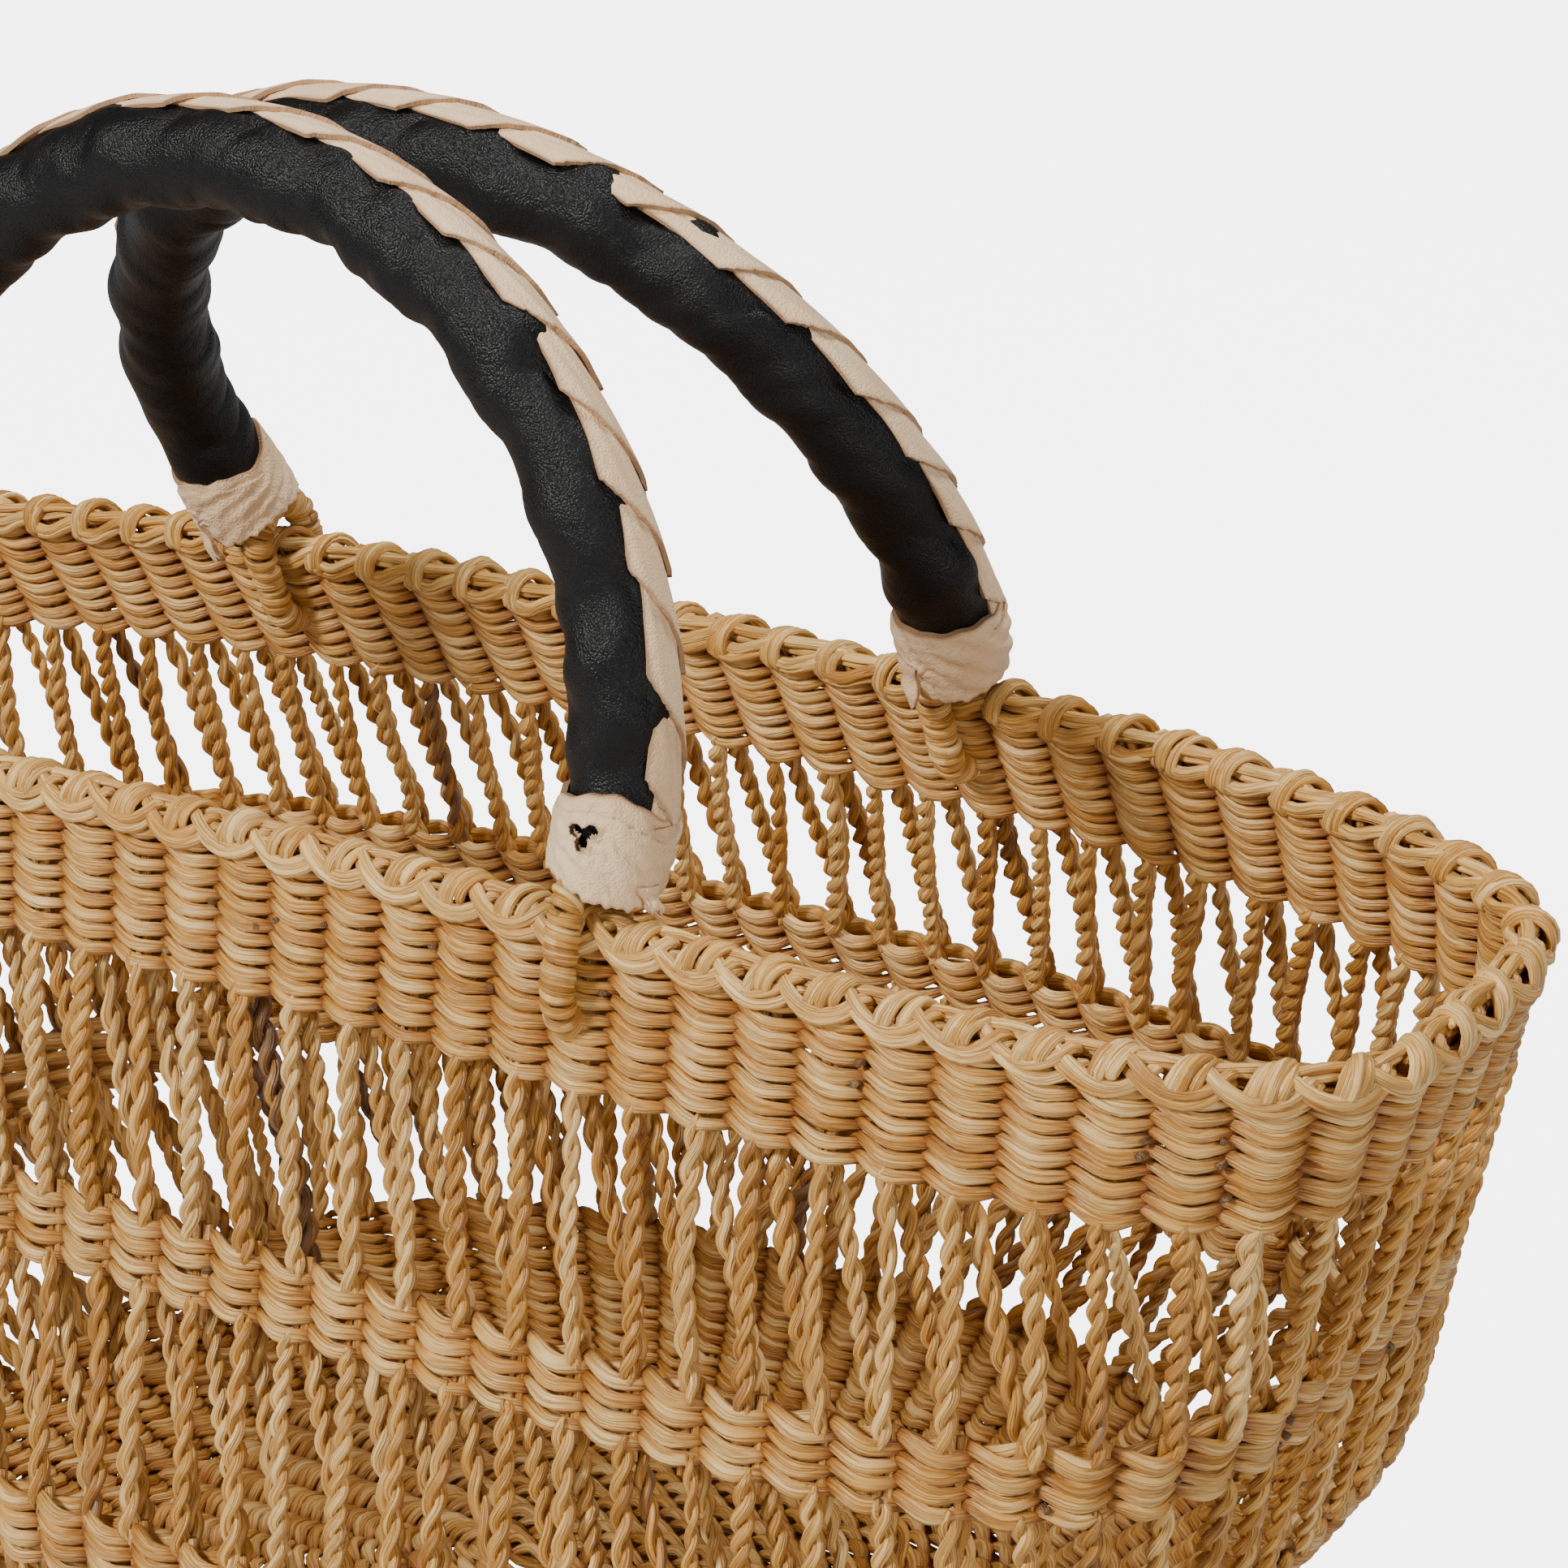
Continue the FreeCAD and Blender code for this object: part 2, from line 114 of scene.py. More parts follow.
def spot(column, z):
    """The middle of the wall at a column and a height, read between the table's entries."""
    column, z = np.broadcast_arrays(np.asarray(column, float), np.asarray(z, float))
    c = (column % COLUMNS) / COLUMNS * OUTLINE_STEPS
    r = np.clip(z / MM, 0, len(WALL_HEIGHTS) - 1.001)
    c0, r0 = c.astype(int), r.astype(int)
    fc, fr = (c - c0)[..., None], (r - r0)[..., None]
    low = wall_table[r0, c0] * (1 - fc) + wall_table[r0, c0 + 1] * fc
    high = wall_table[r0 + 1, c0] * (1 - fc) + wall_table[r0 + 1, c0 + 1] * fc
    return low * (1 - fr) + high * fr


def wall(column, z):
    """The wall's middle, its outward direction and its upward direction."""
    across = spot(column + 0.15, z) - spot(column - 0.15, z)
    up = spot(column, z + 1.5 * MM) - spot(column, z - 1.5 * MM)
    return spot(column, z), unit(np.cross(across, up)), unit(up)


def on_wall(column, z, out):
    """A point a little outside or inside the wall's middle, and the outward direction there."""
    middle, outward, _ = wall(column, z)
    return middle + outward * np.asarray(out)[..., None], outward


# %% [markdown]
# ## Strands
# A grass strand is a bundle of leaf twisted a little, so its section is oval and slightly ridged.
# Curve objects with a bevel would give round hoses and slow files. Instead one helper takes many
# centre lines at once and skins them in numpy, thousands of strands to a mesh. It also stores three
# things on the points: `fibre`, a place inside the straightened strand that the grass material
# reads its streaks from, `tint`, the colour of that strand, and `bulge`, which is low where a
# strand dives between its neighbours. The grass material darkens a strand where its bulge is low:
# that is painted shade.

# %% The strand skinner
def strands(centre, face, wide, deep, tint, bulge=None, sides=7, closed=False, ridge=0.09, taper=0):
    """Skins strands: centre (n, k, 3), face the flat side's direction, wide and deep half sizes."""
    n, k, _ = centre.shape
    wide, deep, tint = (np.broadcast_to(np.asarray(v, float), (n, k)) for v in (wide, deep, tint))
    bulge = np.broadcast_to(1.0 if bulge is None else bulge, (n, k))
    if closed:
        along = np.roll(centre, -1, 1) - np.roll(centre, 1, 1)
        step = np.linalg.norm(np.roll(centre, -1, 1) - centre, axis=2)
    else:
        along = np.gradient(centre, axis=1)
        step = np.linalg.norm(np.diff(centre, axis=1, append=centre[:, -1:]), axis=2)
    along = unit(along)
    length = np.cumsum(step, axis=1) - step
    across = unit(np.cross(along, face))
    out = np.cross(across, along)
    if taper:
        end = np.clip(np.minimum(np.arange(k), np.arange(k)[::-1]) / taper, 0, 1)
        end = 0.35 + 0.65 * np.sqrt(end)
        wide, deep = wide * end, deep * end
    turn = np.arange(sides) * 2 * math.pi / sides
    first = draw.uniform(0, 2 * math.pi, (n, 1, 1))
    roll = draw.uniform(150, 420, (n, 1, 1)) * length[:, :, None] + first
    fold = 1 + ridge * (np.sin(3 * turn + roll) + 0.6 * np.sin(2 * turn - 1.7 * roll + 1))
    ca, sa = np.cos(turn) * fold, np.sin(turn) * fold
    verts = (centre[:, :, None] + across[:, :, None] * (wide[:, :, None] * ca)[..., None]
             + out[:, :, None] * (deep[:, :, None] * sa)[..., None])
    where = draw.uniform(0, 9, (n, 1, 1))
    fibre = np.stack([length[:, :, None] + where + 0 * ca, wide[:, :, None] * np.cos(turn) + where,
                      deep[:, :, None] * np.sin(turn) + 0 * ca], axis=3)
    rings = np.arange(k if closed else k - 1)
    m = np.arange(sides)
    a = (rings * sides)[:, None] + m
    b = (rings * sides)[:, None] + (m + 1) % sides
    c = ((rings + 1) % k * sides)[:, None] + (m + 1) % sides
    d = ((rings + 1) % k * sides)[:, None] + m
    quads = np.stack([a, d, c, b], axis=2).reshape(-1, 4)
    quads = (quads[None] + (np.arange(n) * k * sides)[:, None, None]).reshape(-1, 4)
    caps = np.empty((0, sides), int)
    if not closed:
        starts = (np.arange(n) * k * sides)[:, None]
        caps = np.concatenate([starts + m, starts + (k - 1) * sides + m[::-1]])
    spread = np.ones(sides)
    return {"verts": verts.reshape(-1, 3), "quads": quads, "caps": caps,
            "fibre": fibre.reshape(-1, 3), "tint": (tint[:, :, None] * spread).ravel(),
            "bulge": (bulge[:, :, None] * spread).ravel()}


def piece(name, groups, material, body=None, replaces=()):
    """Joins groups of skinned strands or patches in one named mesh object that rides on a body."""
    mesh = bpy.data.meshes.new(name)
    corners, sizes, base = [], [], 0
    for group in groups:
        for faces in (group["quads"], group["caps"]):
            corners.append((faces + base).ravel())
            sizes.append(np.full(len(faces), faces.shape[1]))
        base += len(group["verts"])
    corners, sizes = np.concatenate(corners), np.concatenate(sizes)
    verts = np.concatenate([g["verts"] for g in groups])
    mesh.vertices.add(len(verts))
    mesh.vertices.foreach_set("co", verts.astype(np.float32).ravel())
    mesh.loops.add(len(corners))
    mesh.loops.foreach_set("vertex_index", corners.astype(np.int32))
    mesh.polygons.add(len(sizes))
    mesh.polygons.foreach_set("loop_start", (np.cumsum(sizes) - sizes).astype(np.int32))
    mesh.update(calc_edges=True)
    mesh.validate()
    for what, kind in (("fibre", "FLOAT_VECTOR"), ("tint", "FLOAT"), ("bulge", "FLOAT")):
        data = np.concatenate([g[what] for g in groups]).astype(np.float32)
        layer = mesh.attributes.new(what, kind, "POINT")
        layer.data.foreach_set("vector" if data.ndim == 2 else "value", data.ravel())
    mesh.shade_smooth()
    mesh.materials.append(material)
    thing = bpy.data.objects.new(name, mesh)
    bpy.context.scene.collection.objects.link(thing)
    if replaces:
        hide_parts(*replaces)
    if body:
        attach(thing, body)
    triangles = int((sizes - 2).sum())
    print(f"{name}: {triangles} triangles")
    return thing


def wander(shape, waves, smooth, closed=False):
    """Smooth random waves between about -1 and 1, along the last axis; smooth is their fineness."""
    k = shape[-1]
    t = np.arange(k) / k
    total = np.zeros(shape)
    for _ in range(waves):
        speed = draw.uniform(0.15, 1, shape[:-1] + (1,)) * smooth
        if closed:
            speed = np.round(speed)
        total += np.sin(2 * math.pi * (speed * t + draw.random(shape[:-1] + (1,))))
    return total / math.sqrt(waves) / 1.3


# %% [markdown]
# ## Finishes: what grass and leather share
# Dried grass has fine streaks that run along each leaf and a colour that differs from strand to
# strand. The grass colour is also darker where a strand dives between its neighbours and along thin
# fold lines: that darkening is painted shade. Leather has pebbled grain and soft stains. Both effects
# are used by several materials, so each is a node group with its own inputs and outputs. The groups
# give only colours, masks and heights. The shader stays in the material, where its plain numbers
# are set straight on its sockets.

# %% A small helper for nodes
def add_node(tree, kind, place, **settings):
    node = tree.nodes.new(kind)
    node.location = place
    for what, value in settings.items():
        setattr(node, what, value)
    return node


def set_inputs(node, **values):
    for what, value in values.items():
        node.inputs[what.replace("_", " ")].default_value = value


def new_group(name, inputs, outputs):
    group = bpy.data.node_groups.new(name, "ShaderNodeTree")
    for label, kind, value in inputs:
        socket = group.interface.new_socket(label, in_out="INPUT", socket_type=kind)
        socket.default_value = value
    for label, kind in outputs:
        group.interface.new_socket(label, in_out="OUTPUT", socket_type=kind)
    start = add_node(group, "NodeGroupInput", (-1100, 0))
    end = add_node(group, "NodeGroupOutput", (900, 0))
    return group, start, end


def maths(tree, what, place, *values, clamp=False):
    node = add_node(tree, "ShaderNodeMath", place, operation=what, use_clamp=clamp)
    for i, value in enumerate(values):
        if isinstance(value, bpy.types.NodeSocket):
            tree.links.new(value, node.inputs[i])
        else:
            node.inputs[i].default_value = value
    return node.outputs[0]


def mix(tree, place, share, a, b, blend="MIX"):
    node = add_node(tree, "ShaderNodeMix", place, data_type="RGBA", blend_type=blend)
    for socket, value in ((node.inputs[0], share), (node.inputs[6], a), (node.inputs[7], b)):
        if isinstance(value, bpy.types.NodeSocket):
            tree.links.new(value, socket)
        else:
            socket.default_value = value
    return node.outputs[2]


# %% The grass streaks group, which also paints shade
def grass_group():
    group, start, end = new_group(
        "grass streaks",
        [("Tint", "NodeSocketFloat", 0.3), ("Bulge", "NodeSocketFloat", 1.0),
         ("Fibre", "NodeSocketVector", (0, 0, 0)), ("Contrast", "NodeSocketFloat", 1.0)],
        [("Colour", "NodeSocketColor"), ("Roughness", "NodeSocketFloat"),
         ("Height", "NodeSocketFloat")])
    link = group.links.new
    coarse_map = add_node(group, "ShaderNodeMapping", (-900, 200))
    set_inputs(coarse_map, Scale=(26, 640, 640))
    fine_map = add_node(group, "ShaderNodeMapping", (-900, -150))
    set_inputs(fine_map, Scale=(60, 2300, 2300))
    stain_map = add_node(group, "ShaderNodeMapping", (-900, -450))
    set_inputs(stain_map, Scale=(40, 90, 90))
    noises = []
    for y, mapping, detail in ((200, coarse_map, 3), (-150, fine_map, 2), (-450, stain_map, 3)):
        link(start.outputs["Fibre"], mapping.inputs["Vector"])
        noise = add_node(group, "ShaderNodeTexNoise", (-700, y))
        set_inputs(noise, Scale=1.0, Detail=detail, Roughness=0.55)
        link(mapping.outputs[0], noise.inputs["Vector"])
        noises.append(noise.outputs["Fac"])
    coarse, fine, stain = noises
    streak = maths(group, "ADD", (-480, 100), maths(group, "MULTIPLY", (-620, 100), coarse, 0.5),
                   maths(group, "MULTIPLY", (-620, 0), fine, 0.5))
    off_line = maths(group, "ABSOLUTE", (-480, 300), maths(group, "SUBTRACT", (-620, 300), coarse, 0.5))
    fold_line = maths(group, "MULTIPLY", (-340, 300), off_line, 17.0, clamp=True)
    centred = maths(group, "SUBTRACT", (-340, 100), streak, 0.5)
    swing = maths(group, "MULTIPLY", (-340, 0), centred, start.outputs["Contrast"])
    shift = maths(group, "MULTIPLY", (-200, 0), swing, 1.5)
    stained = maths(group, "MULTIPLY_ADD", (-200, -150), stain, 0.5, -0.25)
    place = maths(group, "ADD", (-60, 0), shift, stained)
    tint = maths(group, "ADD", (60, 0), place, start.outputs["Tint"], clamp=True)
    ramp = add_node(group, "ShaderNodeValToRGB", (200, 100))
    stops = [(0.0, (0.90, 0.59, 0.215)), (0.22, (0.76, 0.41, 0.095)), (0.48, (0.60, 0.285, 0.05)),
             (0.68, (0.42, 0.17, 0.025)), (0.80, (0.26, 0.15, 0.075)), (0.9, (0.19, 0.11, 0.055)),
             (1.0, (0.18, 0.075, 0.02))]
    ramp.color_ramp.elements.remove(ramp.color_ramp.elements[-1])
    for i, (place_on_ramp, colour) in enumerate(stops):
        stop = ramp.color_ramp.elements[0] if i == 0 else ramp.color_ramp.elements.new(place_on_ramp)
        stop.position, stop.color = place_on_ramp, (*colour, 1)
    link(tint, ramp.inputs[0])
    # painted shade: the colour is darkened where bulge is low, where a strand dives between its
    # neighbours, and along the thin fold lines; fold and shade carry this into the colour
    painted_dive_shade = maths(group, "MULTIPLY_ADD", (120, -200), start.outputs["Bulge"], 0.68, 0.32, clamp=True)
    line_shade = maths(group, "MULTIPLY_ADD", (120, -350), fold_line, 0.36, 0.64)
    fold = maths(group, "MULTIPLY", (220, -200), painted_dive_shade, line_shade)
    shade = add_node(group, "ShaderNodeCombineColor", (400, -200))
    for i, power in enumerate((0.8, 1.25, 1.9)):
        link(maths(group, "POWER", (300, -200 - 120 * i), fold, power), shade.inputs[i])
    colour = mix(group, (560, 100), 1.0, ramp.outputs[0], shade.outputs[0], "MULTIPLY")
    link(colour, end.inputs["Colour"])
    rough = maths(group, "MULTIPLY_ADD", (560, -150), fine, 0.34, 0.24)
    link(rough, end.inputs["Roughness"])
    height = maths(group, "MULTIPLY_ADD", (560, -350), fold_line, 0.3, streak)
    link(height, end.inputs["Height"])
    return group


streaks = grass_group()
print(streaks.name, "group:", len(streaks.nodes), "nodes")

# %% The grass materials
def grass_material(name, contrast, bump):
    material = bpy.data.materials.new(name)
    material.use_nodes = True
    tree = material.node_tree
    shader = tree.nodes["Principled BSDF"]
    group = add_node(tree, "ShaderNodeGroup", (-500, 100), node_tree=streaks)
    group.inputs["Contrast"].default_value = contrast
    for attribute, socket, y in (("tint", "Tint", 300), ("bulge", "Bulge", 100),
                                 ("fibre", "Fibre", -100)):
        read = add_node(tree, "ShaderNodeAttribute", (-800, y), attribute_name=attribute)
        tree.links.new(read.outputs["Vector" if socket == "Fibre" else "Fac"], group.inputs[socket])
    raised = add_node(tree, "ShaderNodeBump", (-250, -200))
    set_inputs(raised, Strength=bump, Distance=1.1 * MM)
    tree.links.new(group.outputs["Height"], raised.inputs["Height"])
    tree.links.new(group.outputs["Colour"], shader.inputs["Base Color"])
    tree.links.new(group.outputs["Roughness"], shader.inputs["Roughness"])
    tree.links.new(raised.outputs[0], shader.inputs["Normal"])
    set_inputs(shader, Specular_IOR_Level=0.5, Sheen_Weight=0.05, Sheen_Roughness=0.4)
    return material


twined_grass = grass_material("twined grass", contrast=1.0, bump=0.8)
corded_grass = grass_material("corded grass", contrast=1.15, bump=0.8)
print("grass materials", twined_grass.name, corded_grass.name)

# %% The leather grain group
def leather_group():
    group, start, end = new_group(
        "leather grain",
        [("Place", "NodeSocketVector", (0, 0, 0)), ("Pebble size", "NodeSocketFloat", 1.0),
         ("Dark", "NodeSocketColor", (0.01, 0.01, 0.01, 1)),
         ("Light", "NodeSocketColor", (0.03, 0.03, 0.03, 1))],
        [("Colour", "NodeSocketColor"), ("Grain", "NodeSocketFloat"), ("Stain", "NodeSocketFloat")])
    link = group.links.new
    size = maths(group, "DIVIDE", (-900, -200), 1400.0, start.outputs["Pebble size"])
    pebbles = add_node(group, "ShaderNodeTexVoronoi", (-700, 100), feature="F1")
    link(start.outputs["Place"], pebbles.inputs["Vector"])
    link(size, pebbles.inputs["Scale"])
    creases = add_node(group, "ShaderNodeTexNoise", (-700, -200))
    set_inputs(creases, Scale=420.0, Detail=5.0, Roughness=0.6, Distortion=1.2)
    link(start.outputs["Place"], creases.inputs["Vector"])
    cloud = add_node(group, "ShaderNodeTexNoise", (-700, -450))
    set_inputs(cloud, Scale=55.0, Detail=4.0, Roughness=0.6)
    link(start.outputs["Place"], cloud.inputs["Vector"])
    grain = maths(group, "ADD", (-300, 0), maths(group, "MULTIPLY", (-450, 50),
                  pebbles.outputs["Distance"], -0.55),
                  maths(group, "MULTIPLY", (-450, -150), creases.outputs["Fac"], 0.9))
    share = maths(group, "MULTIPLY_ADD", (-300, -400), cloud.outputs["Fac"], 1.9, -0.45, clamp=True)
    colour = mix(group, (0, 200), share, start.outputs["Dark"], start.outputs["Light"])
    link(colour, end.inputs["Colour"])
    link(grain, end.inputs["Grain"])
    link(share, end.inputs["Stain"])
    return group


grain_of_leather = leather_group()
print(grain_of_leather.name, "group:", len(grain_of_leather.nodes), "nodes")

# %% The two leathers
def leather_material(name, dark, light, pebble, bump, rough_low, rough_high, edge=None):
    material = bpy.data.materials.new(name)
    material.use_nodes = True
    tree = material.node_tree
    shader = tree.nodes["Principled BSDF"]
    group = add_node(tree, "ShaderNodeGroup", (-600, 100), node_tree=grain_of_leather)
    group.inputs["Pebble size"].default_value = pebble
    group.inputs["Dark"].default_value = (*dark, 1)
    group.inputs["Light"].default_value = (*light, 1)
    read = add_node(tree, "ShaderNodeAttribute", (-900, 0), attribute_name="fibre")
    tree.links.new(read.outputs["Vector"], group.inputs["Place"])
    colour = group.outputs["Colour"]
    # darker where bulge is low: the leather's own darker cut edges, and on the cuffs also painted
    # crease shade along the fold line
    if edge:
        bulge = add_node(tree, "ShaderNodeAttribute", (-900, -300), attribute_name="bulge")
        dark_edges_and_crease_shade = maths(tree, "SUBTRACT", (-450, -300), 1.0, bulge.outputs["Fac"], clamp=True)
        colour = mix(tree, (-250, 200), dark_edges_and_crease_shade, colour, (*edge, 1))
    raised = add_node(tree, "ShaderNodeBump", (-250, -200))
    set_inputs(raised, Strength=bump, Distance=0.7 * MM)
    tree.links.new(group.outputs["Grain"], raised.inputs["Height"])
    tree.links.new(colour, shader.inputs["Base Color"])
    rough = maths(tree, "MULTIPLY_ADD", (-250, 0), group.outputs["Stain"],
                  rough_high - rough_low, rough_low)
    tree.links.new(rough, shader.inputs["Roughness"])
    tree.links.new(raised.outputs[0], shader.inputs["Normal"])
    return material, shader


black_leather, shader = leather_material(
    "black leather", dark=(0.0005, 0.0005, 0.0006), light=(0.0018, 0.0016, 0.0017), pebble=0.7,
    bump=0.5, rough_low=0.36, rough_high=0.48)
set_inputs(shader, Specular_IOR_Level=0.3)
natural_leather, shader = leather_material(
    "natural leather", dark=(0.88, 0.57, 0.30), light=(0.97, 0.73, 0.46), pebble=0.8,
    bump=0.6, rough_low=0.5, rough_high=0.66, edge=(0.36, 0.18, 0.08))
set_inputs(shader, Specular_IOR_Level=0.35, Sheen_Weight=0.1)
print("leathers", black_leather.name, natural_leather.name)

# %% [markdown]
# ## Twined rows
# In twining, two strands travel round the basket together. At each stake one passes outside and
# the other inside, and between the stakes they cross over. So each strand is a wave that swings
# out and in once every two columns, and dips as it passes. Two such waves, half a turn apart, make
# one row. Real strands vary in thickness, and each lasts only some ten columns before the next one
# takes over, so its colour changes on the way.

# %% One twined row
SAG = 1.2 * MM


def tints(columns, samples):
    """Colour along a strand that is replaced by a new one every few columns."""
    values, at = np.empty(columns), 0
    while at < columns:
        run = draw.integers(5, 15)
        pick = draw.beta(1.6, 3.2) * 0.62
        values[at:at + run] = pick
        at += run
    values = values + draw.normal(0, 0.035, columns)
    return np.clip(np.repeat(values, samples), 0, 0.8)


def twined_row(place, columns, samples, swing, dip, tall, deep, sides, odd=0.32 * MM):
    """Two strands that swing past each other; place(column, up, out) gives points and outward."""
    column = np.arange(columns * samples) / samples
    groups = []
    for way in (1, -1):
        wave = np.sin(math.pi * column) * way
        full = np.abs(wave)
        out = swing * np.sign(wave) * full ** 0.85
        up = dip * way * np.cos(math.pi * column) - SAG * full ** 2
        uneven = wander((1, len(column)), 7, columns * 0.9, closed=True)[0]
        drift = wander((1, len(column)), 6, columns * 0.5, closed=True)[0]
        centre, outward = place(column, up + drift * odd, out + uneven * odd * 0.6)
        size = 1 + 0.15 * wander((1, len(column)), 7, columns * 0.7, closed=True)[0]
        # bulge is low where the strand crosses its partner; the grass material paints shade there
        groups.append(strands(centre[None], outward[None], tall * (0.76 + 0.3 * full) * size,
                              deep * (0.8 + 0.22 * full) * size, tints(columns, samples),
                              bulge=full ** 0.7, sides=sides, closed=True))
    return groups


def straws(columns_at, low, high, out, size, samples=5):
    """Straight straws up the wall at the given columns."""
    column = np.asarray(columns_at, float)[:, None]
    z = np.linspace(low, high, samples)[None]
    centre, outward = on_wall(column + 0 * z, z + 0 * column, out + 0 * (z + column))
    tint = np.clip(draw.beta(1.6, 3.2, (len(columns_at), 1)) * 0.6, 0, 1)
    # a bulge of 0.55 darkens the straws all along: painted shade between the rows
    return strands(centre, outward, size, size, tint, bulge=0.55, sides=6)


def stubs(count, low, high, out):
    """Cut pith ends that poke out between two columns."""
    column = draw.integers(0, COLUMNS, count) + draw.uniform(-0.16, 0.16, count)
    z = draw.uniform(low, high, count)
    reach = np.linspace(0, 1, 4)[None] * out
    lean = draw.uniform(-0.12, 0.12, (count, 1))
    centre, outward = on_wall(column[:, None] + lean * np.linspace(0, 1, 4), z[:, None] + 0 * reach,
                              reach + draw.uniform(-0.5, 0.4, (count, 1)) * MM)
    up = np.broadcast_to((0.0, 0.0, 1.0), centre.shape)
    size = draw.uniform(0.7, 1.15, (count, 1)) * MM
    return strands(centre, up, size, size * 0.8, draw.uniform(0.9, 1.0, (count, 1)), sides=7)


# %% [markdown]
# ## The bands and the lower wall
# The rim band has nine tight rows, and the two narrow bands below it have four looser ones each.
# The lower wall carries on down to the base. We could space its rows by height, but the wall turns
# under there and the rows would part, so they are spaced by the length of the wall's curve.

# %% The rim band
LOWEST_STRAND = 2.5 * MM


def row_on_wall(z):
    def place(column, up, out):
        return on_wall(column, np.maximum(z + up, LOWEST_STRAND), out)
    return place


STRAW_GAP = 0.085   # each stake is two straws, this far either side of its column
STUB_LENGTH = 3.4 * MM
both_straws = np.concatenate([np.arange(COLUMNS) + 0.5 - STRAW_GAP,
                              np.arange(COLUMNS) + 0.5 + STRAW_GAP])
RIM_BAND_LOW, RIM_BAND_HIGH, RIM_ROWS = 202.2 * MM, 230.2 * MM, 9
RIM_WEAVE = {"samples": 8, "swing": 2.75 * MM, "dip": 0.75 * MM, "tall": 1.72 * MM,
             "deep": 1.45 * MM, "sides": 7}
groups = [straws(both_straws, RIM_BAND_LOW - 3 * MM, RIM, 0, 1.25 * MM)]
for z in np.linspace(RIM_BAND_LOW + 1.2 * MM, RIM_BAND_HIGH + 0.8 * MM, RIM_ROWS):
    groups += twined_row(row_on_wall(z), COLUMNS, **RIM_WEAVE)
groups.append(stubs(46, RIM_BAND_LOW + 2 * MM, RIM_BAND_HIGH - 6 * MM, STUB_LENGTH))
piece("rim_band_weave", groups, twined_grass, "basket", ["rim_band"])

# %% The two narrow bands
LOOSE_WEAVE = {"samples": 8, "swing": 2.9 * MM, "dip": 0.8 * MM, "tall": 1.95 * MM,
               "deep": 1.4 * MM, "sides": 7}
TOP_ROW_WEAVE = {**LOOSE_WEAVE, "dip": 1.15 * MM, "tall": 2.25 * MM, "deep": 1.6 * MM}
NARROW_BANDS = {"middle_band": (132, 148, 0.3), "low_band": (70, 86, 0.6)}   # mm, mm, columns on
NARROW_ROWS = 4


def narrow_band(low, high, columns_on):
    """Four loose rows; the top one has thicker strands."""
    groups = [straws(both_straws + columns_on, low - 2 * MM, high + 2 * MM, 0, 1.3 * MM)]
    heights = np.linspace(low + 2.6 * MM, high - 1.2 * MM, NARROW_ROWS)
    for z in heights:
        weave = TOP_ROW_WEAVE if z == heights[-1] else LOOSE_WEAVE
        groups += twined_row(row_on_wall(z), COLUMNS, **weave)
    groups.append(stubs(22, low + 2 * MM, high - 5 * MM, STUB_LENGTH))
    return groups


for band, (low, high, columns_on) in NARROW_BANDS.items():
    piece(f"{band}_weave", narrow_band(low * MM, high * MM, columns_on), twined_grass,
          "basket", [band])

# %% The lower wall
LOWER_WALL_TOP, WALL_ROWS = 33.6, 17   # mm, rows
LOWER_WEAVE = {"samples": 5, "swing": 2.6 * MM, "dip": 0.7 * MM, "tall": 1.7 * MM,
               "deep": 1.35 * MM, "sides": 6}
profile = np.arange(0, LOWER_WALL_TOP, 0.1) * MM
wide = between_levels(HALF_LENGTHS, profile)
narrow = between_levels(HALF_WIDTHS, profile)
lengths = np.concatenate([[0], np.cumsum(np.sqrt(np.diff(profile) ** 2 + np.diff(wide) ** 2 / 2
                                                 + np.diff(narrow) ** 2 / 2))])
wall_rows = np.interp(np.linspace(2.2 * MM, lengths[-1] - 1 * MM, WALL_ROWS), lengths, profile)
print(f"lower wall: {WALL_ROWS} rows on a slope of {lengths[-1] / MM:.0f} mm")
groups = [straws(both_straws + 0.9, 1 * MM, 35 * MM, 0, 1.1 * MM, 10)]
for z in wall_rows:
    groups += twined_row(row_on_wall(z), COLUMNS, **LOWER_WEAVE)
piece("lower_wall_weave", groups, twined_grass, "basket", ["lower_wall"])

# %% [markdown]
# ## The base
# The base is twined flat in ovals, one inside another. Every oval has an even number of columns of
# nearly the same width, so the inner ones have fewer. The swing of the strands is up and down here.

# %% The base's ovals
BASE_LEVEL, BASE_MIDDLE = 3 * MM, 4.1 * MM
BASE_PAIR_WIDTH, FEWEST_COLUMNS = 22 * MM, 8   # two columns take this width
ROUNDER_INWARD = 9   # squareness lost for each metre of inset, down to a plain ellipse at 2
OVAL_STEP = 3.3 * MM
BASE_WEAVE = {"samples": 6, "swing": 2.3 * MM, "dip": 0.7 * MM, "tall": 1.75 * MM,
              "deep": 1.4 * MM, "sides": 6}


